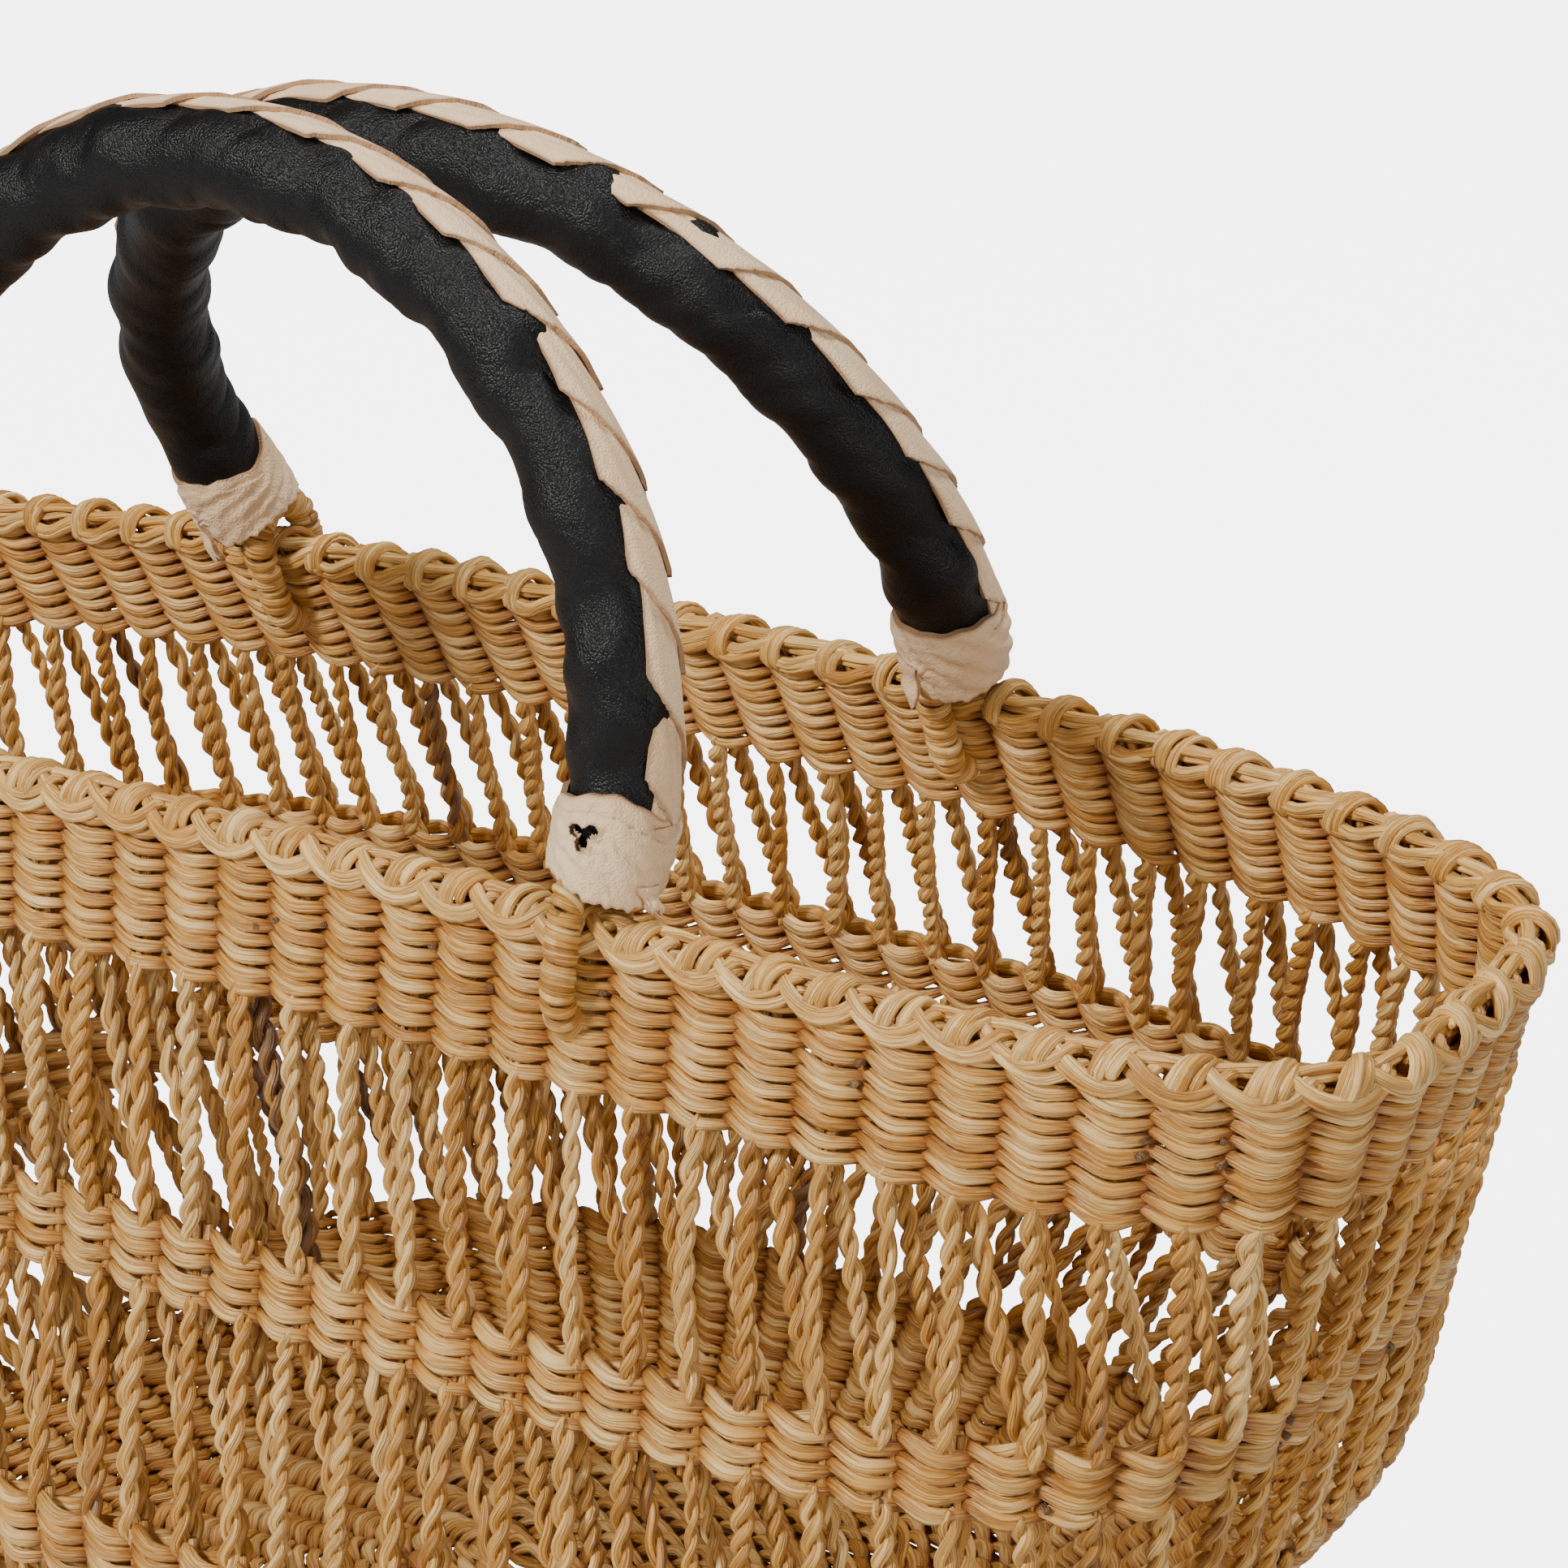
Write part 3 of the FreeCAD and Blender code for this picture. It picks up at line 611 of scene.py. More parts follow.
def oval_row(inset):
    """An oval of the base: a place for its strands, and its number of columns."""
    a, b, squareness = (between_levels(v, BASE_LEVEL)
                        for v in (HALF_LENGTHS, HALF_WIDTHS, SQUARENESS))
    x, y, around = oval(a - inset, b - inset, max(squareness - inset * ROUNDER_INWARD, 2.0))
    outline = np.arange(OUTLINE_STEPS + 1)
    columns = max(2 * round(around / BASE_PAIR_WIDTH), FEWEST_COLUMNS)

    def place(column, up, out):
        at = (column % columns) / columns * OUTLINE_STEPS
        px, py = np.interp(at, outline, x), np.interp(at, outline, y)
        next_at = (at + 4) % OUTLINE_STEPS
        ahead = unit(np.stack([np.interp(next_at, outline, x) - px,
                               np.interp(next_at, outline, y) - py], axis=1))
        inward = np.stack([-ahead[:, 1], ahead[:, 0]], axis=1)
        flat = np.stack([px + FOOT_SHIFT, py], axis=1) + inward * up[:, None]
        centre = np.column_stack([flat, BASE_MIDDLE + out])
        return centre, np.broadcast_to((0.0, 0.0, 1.0), centre.shape)
    return place, columns


groups = []
for k in range(1, int(between_levels(HALF_WIDTHS, BASE_LEVEL) / OVAL_STEP)):
    place, columns = oval_row(OVAL_STEP * (k + 0.1))
    groups += twined_row(place, columns, **BASE_WEAVE)
piece("base_weave", groups, twined_grass, "basket", ["base_disc"])

# %% [markdown]
# ## Twisted cords
# Between the bands the stakes are bare: each is a cord of two strands twisted together. Two cords
# leave every column, one outside the other. The outer one runs almost straight down, and the inner
# one crosses behind its neighbour to the next column. A cord is a pair of helices round a slightly
# bowed line. Their twist all goes one way, but its start and its tightness differ from cord to cord.

# %% One layer of cords
HALF_TURN, PLY_SWING, PLY_RADIUS = 6.2 * MM, 1.18 * MM, 1.36 * MM
CORD_TUCK = 3 * MM   # how far each end goes into the band
GREY_SHARE, GREY_SHADE = 0.025, 0.8


def cords(low, high, out, first, drift, samples):
    """Eighty cords between two bands; first and drift are in columns."""
    column = np.arange(COLUMNS) + first + draw.normal(0, 0.045, COLUMNS)
    foot_column = column + drift + draw.normal(0, 0.05, COLUMNS)
    t = np.linspace(0, 1, samples)[None]
    low_end, low_out = on_wall(foot_column, np.full(COLUMNS, low - CORD_TUCK), np.full(COLUMNS, out))
    high_end, high_out = on_wall(column, np.full(COLUMNS, high + CORD_TUCK), np.full(COLUMNS, out))
    line = low_end[:, None] * (1 - t[..., None]) + high_end[:, None] * t[..., None]
    outward = unit(low_out[:, None] * (1 - t[..., None]) + high_out[:, None] * t[..., None])
    along = unit(high_end - low_end)[:, None] + 0 * line
    outward = unit(outward - along * (outward * along).sum(2, keepdims=True))
    side = np.cross(along, outward)
    bow = np.sin(math.pi * t)
    sway = draw.normal(0, 1.0 * MM, (COLUMNS, 1)) * bow + draw.normal(0, 0.5 * MM, (COLUMNS, 1)) * (
        np.sin(2 * math.pi * t))
    lean = draw.normal(0, 0.3 * MM, (COLUMNS, 1)) * bow
    line = line + side * sway[..., None] + outward * lean[..., None]
    length = np.linalg.norm(high_end - low_end, axis=1)[:, None]
    half_turn = HALF_TURN * draw.uniform(0.8, 1.25, (COLUMNS, 1))
    loosen = 0.5 * wander((COLUMNS, samples), 3, 2.5)
    phase = math.pi * length * t / half_turn + draw.uniform(0, math.pi, (COLUMNS, 1)) + loosen
    thick = draw.normal(1, 0.08, (COLUMNS, 1)) * (1 + 0.08 * wander((COLUMNS, samples), 4, 6))
    spread = (0.62 + 0.38 * np.clip(np.minimum(t, 1 - t) / 0.07, 0, 1)) * thick
    shade = np.clip(draw.beta(1.7, 2.6, (COLUMNS, 1)) * 0.66, 0, 0.7)
    grey = draw.random((COLUMNS, 1)) < GREY_SHARE
    shade = np.where(grey, GREY_SHADE, shade)
    groups = []
    for start in (0, math.pi):
        turn = phase + start
        swing = PLY_SWING * spread
        centre = (line + outward * (swing * np.cos(turn))[..., None]
                  + side * (swing * np.sin(turn))[..., None])
        ply = PLY_RADIUS * spread * (1 + 0.05 * wander((COLUMNS, samples), 5, 9))
        own = np.clip(shade + draw.normal(0, 0.05, (COLUMNS, 1)), 0, 0.82)
        groups.append(strands(centre, outward, ply, ply, own, sides=6, ridge=0.11, taper=2))
    return groups


LAYER = 2.5 * MM
ZONES = {"upper": (148, 201, 0.5), "middle": (86, 132, 0.8), "lower": (34, 70, 1.1)}
for zone, (low, high, first) in ZONES.items():
    for layer, out, drift in (("outer", LAYER, 0.3), ("inner", -LAYER, 1.3)):
        each_mm = high - low + 6
        piece(f"{zone}_cords_{layer}", cords(low * MM, high * MM, out, first, drift, each_mm),
              corded_grass, "basket", [f"{zone}_stakes_{layer}"])

# %% [markdown]
# ## The knotted border
# At the top each pair of straws is bent over and worked into a border. It reads as a row of knots:
# three flat strands wrap over the rim at each column. From every knot a pair of strands hangs in a
# shallow swag along the outer edge, under the next knot, and another pair does so along the inner
# edge. We draw each strand once, as a few points of column, height and outward offset, and repeat
# it at every column.

# %% Drawing strands
def smooth_line(points, samples):
    """A smooth line through a few given points (Catmull-Rom)."""
    p = np.asarray(points, float)
    p = np.concatenate([[2 * p[0] - p[1]], p, [2 * p[-1] - p[-2]]])
    t = np.linspace(0, len(p) - 3 - 1e-6, samples)
    i = t.astype(int)
    f = (t - i)[:, None]
    a, b, c, d = p[i], p[i + 1], p[i + 2], p[i + 3]
    return 0.5 * (2 * b + (c - a) * f + (2 * a - 5 * b + 4 * c - d) * f ** 2
                  + (3 * b - a - 3 * c + d) * f ** 3)


WALL_TOP = 240.5 * MM   # above this, strands rise straight up


def border_strand(points, wide, deep, samples=14, uneven=0.5 * MM):
    """One drawn strand repeated at every column, each a little different."""
    line = smooth_line(points, samples)
    column = np.arange(COLUMNS)[:, None] + line[None, :, 0] + draw.normal(0, 0.03, (COLUMNS, 1))
    wobble = wander((COLUMNS, samples), 3, 1.6)
    z = RIM + (line[None, :, 1] + draw.normal(0, 0.25, (COLUMNS, 1))) * MM + wobble * uneven * 0.6
    out = line[None, :, 2] * MM + wander((COLUMNS, samples), 3, 1.6) * uneven
    centre, outward = on_wall(column, np.minimum(z, WALL_TOP), out)
    lift = np.maximum(z - WALL_TOP, 0)
    centre = centre + np.array([0, 0, 1.0]) * lift[..., None]
    size = draw.normal(1, 0.08, (COLUMNS, 1))
    up_and_out = unit(outward * (line[None, :, 2, None] * 0.35) + np.array([0, 0, 1.0]))
    tint = np.clip(draw.beta(1.5, 3.2, (COLUMNS, 1)) * 0.6, 0, 0.8)
    return strands(centre, up_and_out, wide * size, deep * size, tint, sides=8, taper=2)


# %% The border's strands
# Each point is (columns on, height above the rim in mm, distance out from the wall's middle in mm).
SWAG = [(0.52, 2.2, 0.8), (0.70, 1.0, 2.6), (0.92, -1.2, 4.0), (1.2, -3.0, 4.6), (1.46, -3.2, 4.4),
        (1.72, -1.6, 3.6), (1.92, 1.0, 2.0), (2.02, 0.2, 0.0)]
INNER_SWAG = [(0.48, 1.8, -0.8), (0.70, 1.6, -2.4), (1.0, 0.4, -3.6), (1.35, -1.6, -4.0),
              (1.7, -1.4, -3.2), (1.95, -1.0, -1.2)]
TOP_RUN = [(0.25, 0.8, 0.7), (0.55, 1.7, 0.2), (0.95, 2.2, -0.6), (1.35, 1.7, -0.9),
           (1.7, 0.7, -0.4)]
KNOTS = [[(0.20, -4.6, 3.4), (0.24, -1.6, 4.9), (0.33, 1.9, 3.4), (0.45, 2.9, 0.4), (0.56, 1.7, -2.6),
          (0.62, -1.8, -4.3), (0.60, -4.8, -3.4)],
         [(0.34, -4.4, 3.4), (0.38, -1.2, 5.0), (0.46, 2.4, 3.4), (0.56, 3.5, 0.2), (0.66, 2.1, -2.8),
          (0.72, -1.6, -4.4), (0.70, -4.8, -3.4)],
         [(0.50, -3.4, 3.6), (0.53, -0.8, 4.6), (0.60, 1.7, 3.2), (0.68, 2.8, 0.2), (0.76, 1.5, -2.4),
          (0.80, -1.8, -3.8), (0.78, -4.4, -3.0)]]
groups = [border_strand(line, 1.65 * MM, 1.05 * MM) for line in KNOTS]
for line, wide in ((SWAG, 1.5), (INNER_SWAG, 1.35), (TOP_RUN, 1.4)):
    beside = [(column + 0.05, z - 1.7, out * 1.03) for column, z, out in line]
    groups += [border_strand(line, wide * MM, 1.15 * MM), border_strand(beside, wide * MM, 1.1 * MM)]
piece("knotted_border", groups, twined_grass, "basket", ["rim_border"])

# %% [markdown]
# ## The handles
# Each handle is a round core, bent in a horseshoe and wrapped in black leather. The leather is
# sewn along the outer edge under a lacing of natural leather, and each foot sits in a natural
# cuff. A plain torus would look like rubber. The real sleeve is pulled over a bend, so it
# gathers in folds on the inner side and puckers at every stitch. We skin it on a fine grid and move
# the grid by those folds, so they show in the outline as well.

# %% Places along a handle
ARCH_RADIUS, FOOT_HALF_SPACING = 108.3 * MM, 100.6 * MM
ARCH_CENTRE = math.sqrt(ARCH_RADIUS ** 2 - FOOT_HALF_SPACING ** 2)
HINGE_Y, HINGE_Z = 69.615 * MM, 233.237 * MM
CUFF_LENGTH = 22   # mm
CORE_END = 90 + math.degrees(math.asin((ARCH_CENTRE - 14 * MM) / ARCH_RADIUS))
CUFF_END = 90 + math.degrees(math.asin((ARCH_CENTRE - 10.5 * MM) / ARCH_RADIUS))
CUFF_TOP = CUFF_END - math.degrees(CUFF_LENGTH * MM / ARCH_RADIUS)
HANDLES = {"front": (-1, 10), "back": (1, 25)}   # side of the basket, lean in degrees


def handle_point(handle, angle, around, radius):
    """A place on a handle: angle from its top (degrees), around the tube (0 is its outer edge)."""
    side, lean = HANDLES[handle]
    lean = math.radians(lean)
    up = np.array([0, -side * math.sin(lean), math.cos(lean)])
    face = np.array([0, -math.cos(lean), -side * math.sin(lean)])
    centre = np.array([0, side * HINGE_Y, HINGE_Z]) + up * ARCH_CENTRE
    a, phi = np.radians(angle), np.radians(around)
    outward = np.sin(a)[..., None] * np.array([1.0, 0, 0]) + np.cos(a)[..., None] * up
    return (centre + outward * (ARCH_RADIUS + radius * np.cos(phi))[..., None]
            + face * (radius * np.sin(phi))[..., None])


def grid_patch(points, fibre, bulge, tint=0.3, wrap=False, keep=None):
    """Faces for a grid of points (rows, columns); wrap joins the last column to the first."""
    rows, cols = points.shape[:2]
    r = np.arange(rows - 1)[:, None]
    c = np.arange(cols if wrap else cols - 1)[None]
    quads = np.stack([r * cols + c, r * cols + (c + 1) % cols, (r + 1) * cols + (c + 1) % cols,
                      (r + 1) * cols + c], axis=2)
    quads = (quads[keep] if keep is not None else quads).reshape(-1, 4)
    return {"verts": points.reshape(-1, 3), "quads": quads, "caps": np.empty((0, 3), int),
            "fibre": fibre.reshape(-1, 3), "tint": np.full(rows * cols, tint),
            "bulge": np.broadcast_to(bulge, (rows, cols)).ravel()}


# %% The black sleeve
LACE_TURN = {"front": 8, "back": 33}   # how far the lacing sits towards the rear, in degrees
SCALE_STEP = 20.5 * MM
SLEEVE_RADIUS, LACE_RADIUS, CUFF_RADIUS = 11.3, 11.5, 12.35   # mm


def folds(s, phi, seed, seam):
    """Height of the sleeve's folds in mm, at s mm along the handle and phi degrees round it."""
    pick = np.random.default_rng(seed)
    p = np.radians(phi)
    total = np.zeros_like(s)
    for _ in range(10):
        total += 0.23 * np.sin(s * 2 * math.pi / pick.uniform(16, 48) + pick.integers(-2, 3) * p
                               + pick.uniform(0, 6.3))
    inner = ((1 - np.cos(p)) / 2) ** 1.2
    for _ in range(5):
        wave = s / pick.uniform(8, 17) + 0.35 * np.sin(s / pick.uniform(11, 23) + pick.uniform(0, 6))
        wave += 0.28 * np.sin(p * pick.choice([1, 2]) + pick.uniform(0, 6))
        strength = 0.5 + 0.5 * np.sin(s / pick.uniform(14, 30) + 1.5 * p + pick.uniform(0, 6))
        total += 0.5 * inner * strength * (np.abs(np.sin(math.pi * wave)) ** 0.6 - 0.6)
    for _ in range(7):
        across, along = pick.uniform(2.5, 6), pick.uniform(1, 3)
        total += 0.05 * np.sin(s / along + across * p + pick.uniform(0, 6)) * (
            0.5 + 0.5 * np.sin(s / 17 + p * 2 + pick.uniform(0, 6)))
    for edge in (-1, 1):
        from_edge = (phi + seam + 180) % 360 - 180 - edge * 33
        near = np.where(from_edge * edge > 0, np.exp(-np.abs(from_edge) / 34), 0)
        wave = s * MM / SCALE_STEP + edge * (0.3 + 0.007 * from_edge) + 0.1 * np.sin(s / 40)
        valley = np.abs(np.sin(math.pi * wave)) ** 0.55
        total += 1.25 * near * (valley - 0.72)
    return total


def sleeve(handle, seed):
    angle = np.linspace(-CORE_END, CORE_END, 600)[:, None]
    around = (np.arange(110) * 360 / 110)[None]
    s = np.radians(angle) * ARCH_RADIUS / MM
    s, phi = np.broadcast_arrays(s, around)
    near_feet = np.clip((CORE_END - np.abs(angle)) / 14, 0.25, 1)
    radius = (SLEEVE_RADIUS + folds(s, phi, seed, LACE_TURN[handle]) * near_feet) * MM
    points = handle_point(handle, angle + 0 * around, phi, radius)
    place = handle_point(handle, angle + 0 * around, phi, np.full(s.shape, 11.25 * MM))
    return grid_patch(points, place, np.ones(s.shape), wrap=True)


def grass_core(handle):
    """The bundle inside the sleeve, seen only from below at the handle's feet."""
    turn = np.arange(20) * 18.0
    angle = np.linspace(-CORE_END + 0.4, CORE_END - 0.4, 60)[None]
    points = handle_point(handle, angle + 0 * turn[:, None], turn[:, None] + 0.4 * angle,
                          np.full((20, 60), 7.2 * MM))
    middle = handle_point(handle, angle + 0 * turn[:, None], turn[:, None] * 0,
                          np.full((20, 60), 0.0))
    # a bulge of 0.6 darkens the core all along: painted shade inside the sleeve
    return strands(points, points - middle, 1.5 * MM, 1.4 * MM, draw.uniform(0.1, 0.6, (20, 1)),
                   bulge=0.6, sides=6)


for handle, seed in (("front", 3), ("back", 8)):
    body = f"{handle}_handle"
    piece(f"{handle}_leather_sleeve", [sleeve(handle, seed)], black_leather, body,
          [f"{handle}_leather_cover"])
    piece(f"{handle}_grass_core", [grass_core(handle)], corded_grass, body,
          [f"{handle}_core"])

# %% [markdown]
# ## The lacing
# A strip of natural leather covers the seam on each handle's outer edge. It is wound over itself,
# so it shows as leaf-shaped scales, each one lying on the next. Every scale is a small curved
# patch with thickness: it starts low, under the end of the scale before it, and rises to its tip.

# %% One scale after another
SCALE_THICK = 1.05   # mm


def scales(handle, seed):
    """All the scales of one handle: w runs from root to tip, v across from -1 to 1."""
    pick = np.random.default_rng(seed)
    reach = math.radians(CUFF_TOP) * (ARCH_RADIUS + LACE_RADIUS * MM)
    count = round(2 * reach / SCALE_STEP)
    groups = []
    for i in range(count + 2):
        w = np.linspace(0, 1, 30)[:, None]
        v = np.linspace(-1, 1, 30)[None]
        start = -reach + (i - 1) * 2 * reach / count + pick.normal(0, 0.8) * MM
        long = SCALE_STEP * pick.uniform(1.3, 1.42)
        slant = SCALE_STEP * pick.uniform(0.5, 0.66)
        s = start + long * w - slant * v * (0.75 + 0.25 * w) + 0.9 * MM * np.sin(v * 2.2) * w
        rough = sum(pick.uniform(0.08, 0.2) * np.sin(v * k + pick.uniform(0, 6))
                    for k in (7, 13, 23, 37, 51)) * MM
        s = s + rough * w ** 6
        width = (24 + pick.uniform(-1.5, 1.5) + 14 * w ** 1.3
                 + 0.7 * np.sin(w * 9 + pick.uniform(0, 6)))
        phi = v * width
        height = 11.6 + 0.3 + 1.25 * w ** 1.6 - 0.85 * np.abs(v) ** 4 * (1 - 0.75 * w ** 3)
        height = height + 0.14 * np.sin(v * 4 + w * 5 + pick.uniform(0, 6)) + (
            0.10 * np.sin(v * 11 + w * 7 + pick.uniform(0, 6)))
        s, phi, height = np.broadcast_arrays(s, phi, height)
        angle = np.degrees(s / (ARCH_RADIUS + LACE_RADIUS * MM))
        if angle.min() > CUFF_TOP or angle.max() < -CUFF_TOP:
            continue
        angle = np.clip(angle, -CUFF_TOP - 3, CUFF_TOP + 3)
        phi = phi - LACE_TURN[handle]
        place = handle_point(handle, angle, phi, np.full(s.shape, 12 * MM))
        edge = np.clip(np.minimum((1 - w) * 16, (1 - np.abs(v)) * 9), 0, 1)
        edge = 0.35 + 0.65 * np.broadcast_to(edge, s.shape)
        top = handle_point(handle, angle, phi, height * MM)
        under = handle_point(handle, angle, phi, (height - SCALE_THICK) * MM)
        groups += closed_sheet(top, under, place, edge)
    return groups


def closed_sheet(top, under, place, edge):
    """A leather sheet with thickness: two grids and the strip that joins their edges."""
    rows, cols = top.shape[:2]
    groups = [grid_patch(top, place, edge), grid_patch(under[::-1], place[::-1], edge[::-1])]
    loop = ([(r, 0) for r in range(rows)] + [(rows - 1, c) for c in range(1, cols)]
            + [(r, cols - 1) for r in range(rows - 2, -1, -1)]
            + [(0, c) for c in range(cols - 2, 0, -1)])
    r, c = np.array(loop).T
    rim = np.stack([under[r, c], top[r, c]])
    groups.append(grid_patch(rim, np.stack([place[r, c]] * 2), np.full((2, len(loop)), 0.2),
                             wrap=True))
    return groups


for handle, seed in (("front", 21), ("back", 22)):
    piece(f"{handle}_laced_scales", scales(handle, seed), natural_leather,
          f"{handle}_handle", [f"{handle}_lacing"])

# %% [markdown]
# ## The cuffs
# A strip of natural leather is wound round each foot of a handle, and its end is pushed through a
# slit. So a cuff has an uneven upper edge, a fold just below it, creases that spread from the
# slit, and a ragged lower edge. The strip's end shows as a small pointed tail.

# %% One cuff
SLITS = {"front_left": (80, 0.40, 2.4), "front_right": (84, 0.38, 3.6),
         "back_left": (66, 0.52, 2.3), "back_right": (104, 0.56, 2.3)}   # turn, way down, size in mm
CUFF_THICK, PLACE_RADIUS = 1.3, 13   # mm


def cuff(handle, hand, seed):
    """A cuff with a star-shaped slit: w runs down it from 0 to 1, phi round it in degrees."""
    pick = np.random.default_rng(seed)
    way = -1 if hand == "left" else 1
    rows, cols = 56, 230
    w = np.linspace(0, 1, rows)[:, None]
    phi = (np.arange(cols) * 360 / cols)[None]
    p = np.radians(phi)
    upper = CUFF_TOP + 0.9 + 1.0 * np.cos(2 * p + 0.4) + 0.5 * np.sin(3 * p + pick.uniform(0, 6)) + (
        0.12 * np.sin(11 * p + pick.uniform(0, 6)))
    lower = CUFF_END - 0.1 + 0.4 * np.sin(2 * p + pick.uniform(0, 6)) + 0.16 * np.sin(17 * p) + (
        0.12 * np.sin(31 * p))
    angle = upper + (lower - upper) * w
    slit_turn, slit_down, slit_size = SLITS[f"{handle}_{hand}"]
    across = np.radians((phi - slit_turn + 180) % 360 - 180) * PLACE_RADIUS
    down = (w - slit_down) * CUFF_LENGTH
    far, around = np.hypot(across, down), np.arctan2(down, across * way)
    star = slit_size * (0.34 + 0.66 * np.abs(np.cos(1.5 * around + 0.7)) ** 1.6)
    belly = 0.55 * np.sin(math.pi * w) ** 0.7
    seam = w - 0.17 - 0.05 * np.sin(p + 1) - 0.04 * np.cos(2 * p + 0.5)
    fold = 0.55 * np.clip(1 - seam / 0.9, 0, 1) * (seam > 0)
    rays = 0.5 * np.sin(11 * around + 2 * np.sin(far)) * np.exp(-far / 4.2) * np.clip(
        (far - star) / 1.2, 0, 1)
    lips = 0.7 * np.exp(-((far - star - 0.3) / 0.7) ** 2)
    creases = np.zeros(np.broadcast_shapes(w.shape, p.shape))
    for _ in range(9):
        creases = creases + 0.1 * np.sin(p * pick.integers(2, 12) + w * pick.uniform(4, 34)
                                          + pick.uniform(0, 6))
    height = CUFF_RADIUS + belly + fold + creases + rays + lips
    height, angle, phi = np.broadcast_arrays(height, angle, phi)
    top = handle_point(handle, way * angle, phi, height * MM)
    under = handle_point(handle, way * angle, phi, (height - CUFF_THICK) * MM)
    place = handle_point(handle, way * angle, phi, np.full(height.shape, PLACE_RADIUS * MM))
    edge = np.minimum(np.minimum(w, 1 - w) * 22, (far - star) * 1.5)
    # edge is also low along the fold line below the upper edge, which paints crease shade there
    edge = np.clip(edge, 0, 1) * np.clip(0.55 + np.abs(seam) * 30, 0, 1)
    keep = (far > star)[:-1]
    rim = [np.stack([under[0], top[0]]), np.stack([top[-1], under[-1]])]
    rims = [grid_patch(r, np.stack([place[0]] * 2), np.full((2, cols), 0.15), wrap=True) for r in rim]
    groups = [grid_patch(top, place, 0.2 + 0.8 * edge, wrap=True, keep=keep),
              grid_patch(under[::-1], place[::-1], np.full(height.shape, 0.4), wrap=True,
                         keep=(far > star)[::-1][:-1])] + rims
    return groups


# %% The tail at a cuff's lower edge
TAILS = {"front_left": (72, 5.0, 6.2), "front_right": (14, 2.6, 2.5),
         "back_left": (60, 5.0, 6.2), "back_right": (112, 5.6, 6.4)}   # turn, start, length
TAIL_THICK = 1.1   # mm
CUFF_SEEDS = {"front_left": 59, "front_right": 60, "back_left": 56, "back_right": 57}


def tail(handle, hand, seed):
    """A pointed strip that lifts off the cuff: w runs to its point, v across from -1 to 1."""
    pick = np.random.default_rng(seed)
    way = -1 if hand == "left" else 1
    turn, start, long = TAILS[f"{handle}_{hand}"]
    w, v = np.linspace(0, 1, 22)[:, None], np.linspace(-1, 1, 18)[None]
    ragged = sum(pick.uniform(0.1, 0.5) * np.sin(v * k + pick.uniform(0, 6)) for k in (5, 9, 17))
    angle = CUFF_END - start + (long + 0.5 * ragged) * w
    phi = turn + v * (13 - 6 * w + 1.5 * np.sin(w * 9 + pick.uniform(0, 6))) - 9 * w * way
    height = 13.7 + 2.3 * w ** 1.4 + 0.6 * np.sin(v * 2.4 + w * 3) * w + 0.3 * np.sin(w * 11)
    angle, phi, height = np.broadcast_arrays(angle, phi, height)
    top = handle_point(handle, way * angle, phi, height * MM)
    under = handle_point(handle, way * angle, phi, (height - TAIL_THICK) * MM)
    place = handle_point(handle, way * angle, phi, np.full(height.shape, PLACE_RADIUS * MM))
    edge = 0.3 + 0.7 * np.clip(np.minimum((1 - w) * 9, (1 - np.abs(v)) * 5), 0, 1) + 0 * angle
    return closed_sheet(top, under, place, edge)


for handle in HANDLES:
    for hand in ("left", "right"):
        seed = CUFF_SEEDS[f"{handle}_{hand}"]
        piece(f"{handle}_cuff_{hand}_wrap", cuff(handle, hand, seed), natural_leather,
              f"{handle}_handle", [f"{handle}_cuff_{hand}"])
        piece(f"{handle}_cuff_{hand}_tip", tail(handle, hand, seed + 1), natural_leather,
              f"{handle}_handle", [f"{handle}_cuff_tail_{hand}"])

# %% [markdown]
# ## The grass loops
# A bundle of grass, wrapped round with more grass, ties each foot to the rim: it goes round the
# border and through the band. On the real basket it is the only thing that bends when a handle
# tilts; here it is a fixed mesh that rides on no body.

# %% A wrapped loop
LOOP_REACH, LOOP_LIFT, LOOP_DEPTH = 8.9 * MM, 2.5 * MM, 21.5 * MM


def loop_line(side, foot, samples=200):
    """The loop's closed line: two straight legs and two half rings, in a plane across the wall."""
    reach, lift = LOOP_REACH, LOOP_LIFT
    leg = lift + LOOP_DEPTH - reach
    s = np.linspace(0, 1, samples, endpoint=False) * (2 * leg + 2 * math.pi * reach)
    across, up = np.empty(samples), np.empty(samples)
    arc = math.pi * reach
    a = s < leg
    across[a], up[a] = reach, lift - s[a]
    b = (s >= leg) & (s < leg + arc)
    t = (s[b] - leg) / reach
    across[b], up[b] = reach * np.cos(t), lift - leg - reach * np.sin(t)
    c = (s >= leg + arc) & (s < 2 * leg + arc)
    across[c], up[c] = -reach, lift - leg + (s[c] - leg - arc)
    d = s >= 2 * leg + arc
    t = (s[d] - 2 * leg - arc) / reach
    across[d], up[d] = -reach * np.cos(t), lift + reach * np.sin(t)
    slant = math.radians(WALL_SLANT)
    y = side * (HINGE_Y + across * math.cos(slant) - up * math.sin(slant))
    z = HINGE_Z + up * math.cos(slant) + across * math.sin(slant)
    x = np.full(samples, foot * FOOT_HALF_SPACING)
    return np.column_stack([x, y, z])


half_length, half_width, squareness = (between_levels(values, RIM - LOOP_DEPTH)
                                       for values in (HALF_LENGTHS, HALF_WIDTHS, SQUARENESS))
hole_y = half_width * (1 - (FOOT_HALF_SPACING / half_length) ** squareness) ** (1 / squareness)
WALL_SLANT = math.degrees(math.atan2(hole_y - HINGE_Y, LOOP_DEPTH))
print(f"the wall leans {WALL_SLANT:.1f} degrees at the loops")


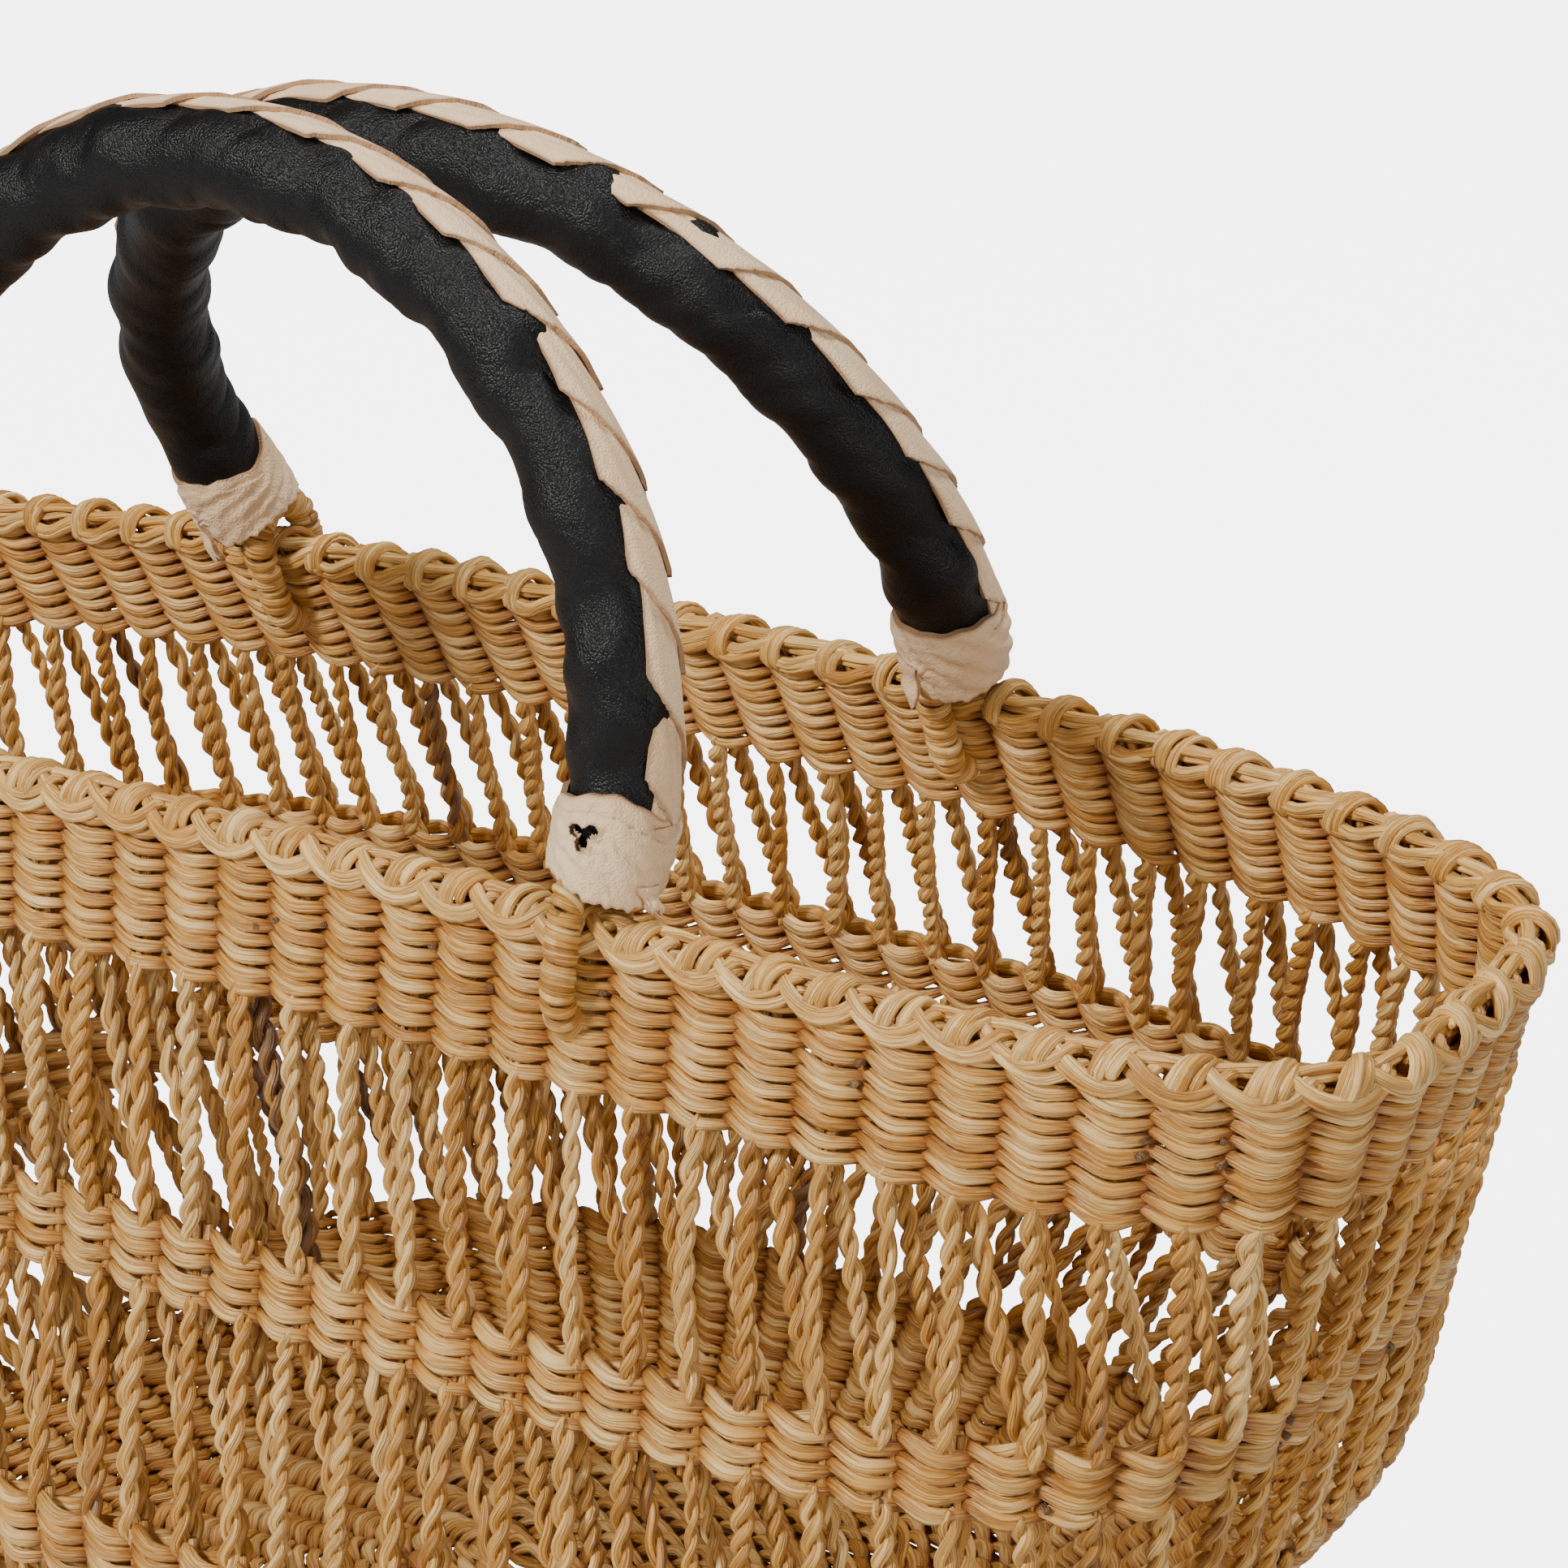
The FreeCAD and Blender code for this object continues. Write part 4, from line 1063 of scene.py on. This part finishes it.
def wrapped_loop(side, foot, seed):
    """Two layers of grass wound round the loop's line, the second one with fewer turns."""
    pick = np.random.default_rng(seed)
    line = loop_line(side, foot)
    samples = 900
    t = np.arange(samples) / samples
    at = t * len(line)
    closed_line = np.vstack([line, line[:1]])
    base = np.stack([np.interp(at, np.arange(len(closed_line)), closed_line[:, i])
                     for i in range(3)], axis=1)
    along = unit(np.roll(base, -6, 0) - np.roll(base, 6, 0))
    sideways = np.array([1.0, 0, 0]) + 0 * base
    out = unit(np.cross(along, sideways))
    groups = []
    for layer, turns, radius, size in ((0, 31, 2.75 * MM, 1.35 * MM), (1, 23, 3.15 * MM, 1.2 * MM)):
        wobble = sum(pick.uniform(0.1, 0.32) * np.sin(2 * math.pi * k * t + pick.uniform(0, 6))
                     for k in (3, 5, 8, 13, 21))
        turn = 2 * math.pi * turns * t + wobble * 1.6
        sway = radius * (1 + 0.07 * wobble)
        centre = base + out * (sway * np.cos(turn))[:, None] + sideways * (
            sway * np.sin(turn))[:, None]
        if layer:
            turn = -turn
        tint = np.clip(np.repeat(pick.uniform(0.05, 0.5, 30), 30), 0, 1)
        groups.append(strands(centre[None], unit(centre - base)[None], size, size * 0.75,
                              tint[None], sides=7, closed=True))
    return groups


for handle, (side, _) in HANDLES.items():
    for hand, foot in (("left", -1), ("right", 1)):
        name = f"{handle}_loop_{hand}"
        loop = piece(f"{name}_wrapped", wrapped_loop(side, foot, 60 + side * 3 + foot), corded_grass,
                     replaces=[name])
        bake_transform(loop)

# %% [markdown]
# ## Floor, light and camera
# The basket stands on a plain pale floor in soft studio light: a main light from the front left, a
# weak wide one from the right, one from above, and an even surround that keeps the shadows open.

# %% The floor
FLOOR_RADIUS, FLOOR_TOP = 25, -0.2 * MM
floor_mesh = bpy.data.meshes.new("floor")
corners = [(FLOOR_RADIUS * math.cos(t), FLOOR_RADIUS * math.sin(t), FLOOR_TOP)
           for t in np.radians(range(0, 360, 6))]
floor_mesh.from_pydata(corners, [], [list(range(len(corners)))])
floor = bpy.data.objects.new("floor", floor_mesh)
bpy.context.scene.collection.objects.link(floor)
pale = bpy.data.materials.new("pale floor")
pale.use_nodes = True
pale_shader = pale.node_tree.nodes["Principled BSDF"]
set_inputs(pale_shader, Base_Color=(0.5, 0.5, 0.5, 1), Roughness=0.8, Specular_IOR_Level=0.1,
           Emission_Color=(1, 1, 1, 1))
seen = add_node(pale.node_tree, "ShaderNodeLightPath", (-600, -300))
glow = maths(pale.node_tree, "MULTIPLY_ADD", (-300, -300), seen.outputs["Is Camera Ray"], 5.0, 0.1)
pale.node_tree.links.new(glow, pale_shader.inputs["Emission Strength"])
floor_mesh.materials.append(pale)
print("floor", FLOOR_RADIUS * 2, "m across")

# %% The lights
def soft_light(name, place, aim, size, power, colour=(1, 1, 1)):
    lamp = bpy.data.lights.new(name, "AREA")
    lamp.shape, lamp.size, lamp.energy, lamp.color = "DISK", size, power, colour
    thing = bpy.data.objects.new(name, lamp)
    bpy.context.scene.collection.objects.link(thing)
    back = unit(np.array(place, float) - np.array(aim, float))
    side = unit(np.cross([0, 0, 1], back))
    up = np.cross(back, side)
    thing.matrix_world = Matrix([[side[i], up[i], back[i], place[i]] for i in range(3)]
                                + [[0, 0, 0, 1]])
    print(f"{name} light: {size} m across, {power} W")


MIDDLE = (0, 0, 0.18)
soft_light("key", (-0.55, -1.7, 1.75), MIDDLE, 0.5, 62, (1, 0.985, 0.96))
soft_light("fill", (1.9, -0.9, 0.9), MIDDLE, 1.0, 16)
soft_light("top", (0.3, 0.7, 2.1), MIDDLE, 0.7, 30)
world = bpy.data.worlds.new("studio")
world.use_nodes = True
set_inputs(world.node_tree.nodes["Background"], Color=(1, 1, 1, 1), Strength=0.1)
bpy.context.scene.world = world

# %% The camera
AZIMUTH, DOWN, ROLL = 0.639, 0.421, -0.068   # radians
CAMERA_PLACE = (0.697, -0.801, 0.684)
SENSOR_WIDTH, FOCAL_LENGTH, FARTHEST = 36, 115.06, 60   # mm, mm, m
forward = np.array([-math.sin(AZIMUTH) * math.cos(DOWN), math.cos(AZIMUTH) * math.cos(DOWN),
                    -math.sin(DOWN)])
right = np.array([math.cos(AZIMUTH), math.sin(AZIMUTH), 0])
up = np.cross(right, forward)
turned_right = math.cos(ROLL) * right + math.sin(ROLL) * up
turned_up = -math.sin(ROLL) * right + math.cos(ROLL) * up
lens = bpy.data.cameras.new("camera")
lens.sensor_width, lens.lens, lens.clip_end = SENSOR_WIDTH, FOCAL_LENGTH, FARTHEST
camera = bpy.data.objects.new("camera", lens)
camera.matrix_world = Matrix([[turned_right[i], turned_up[i], -forward[i], CAMERA_PLACE[i]]
                              for i in range(3)] + [[0, 0, 0, 1]])
bpy.context.scene.collection.objects.link(camera)
bpy.context.scene.camera = camera
print("camera lens", FOCAL_LENGTH, "mm")
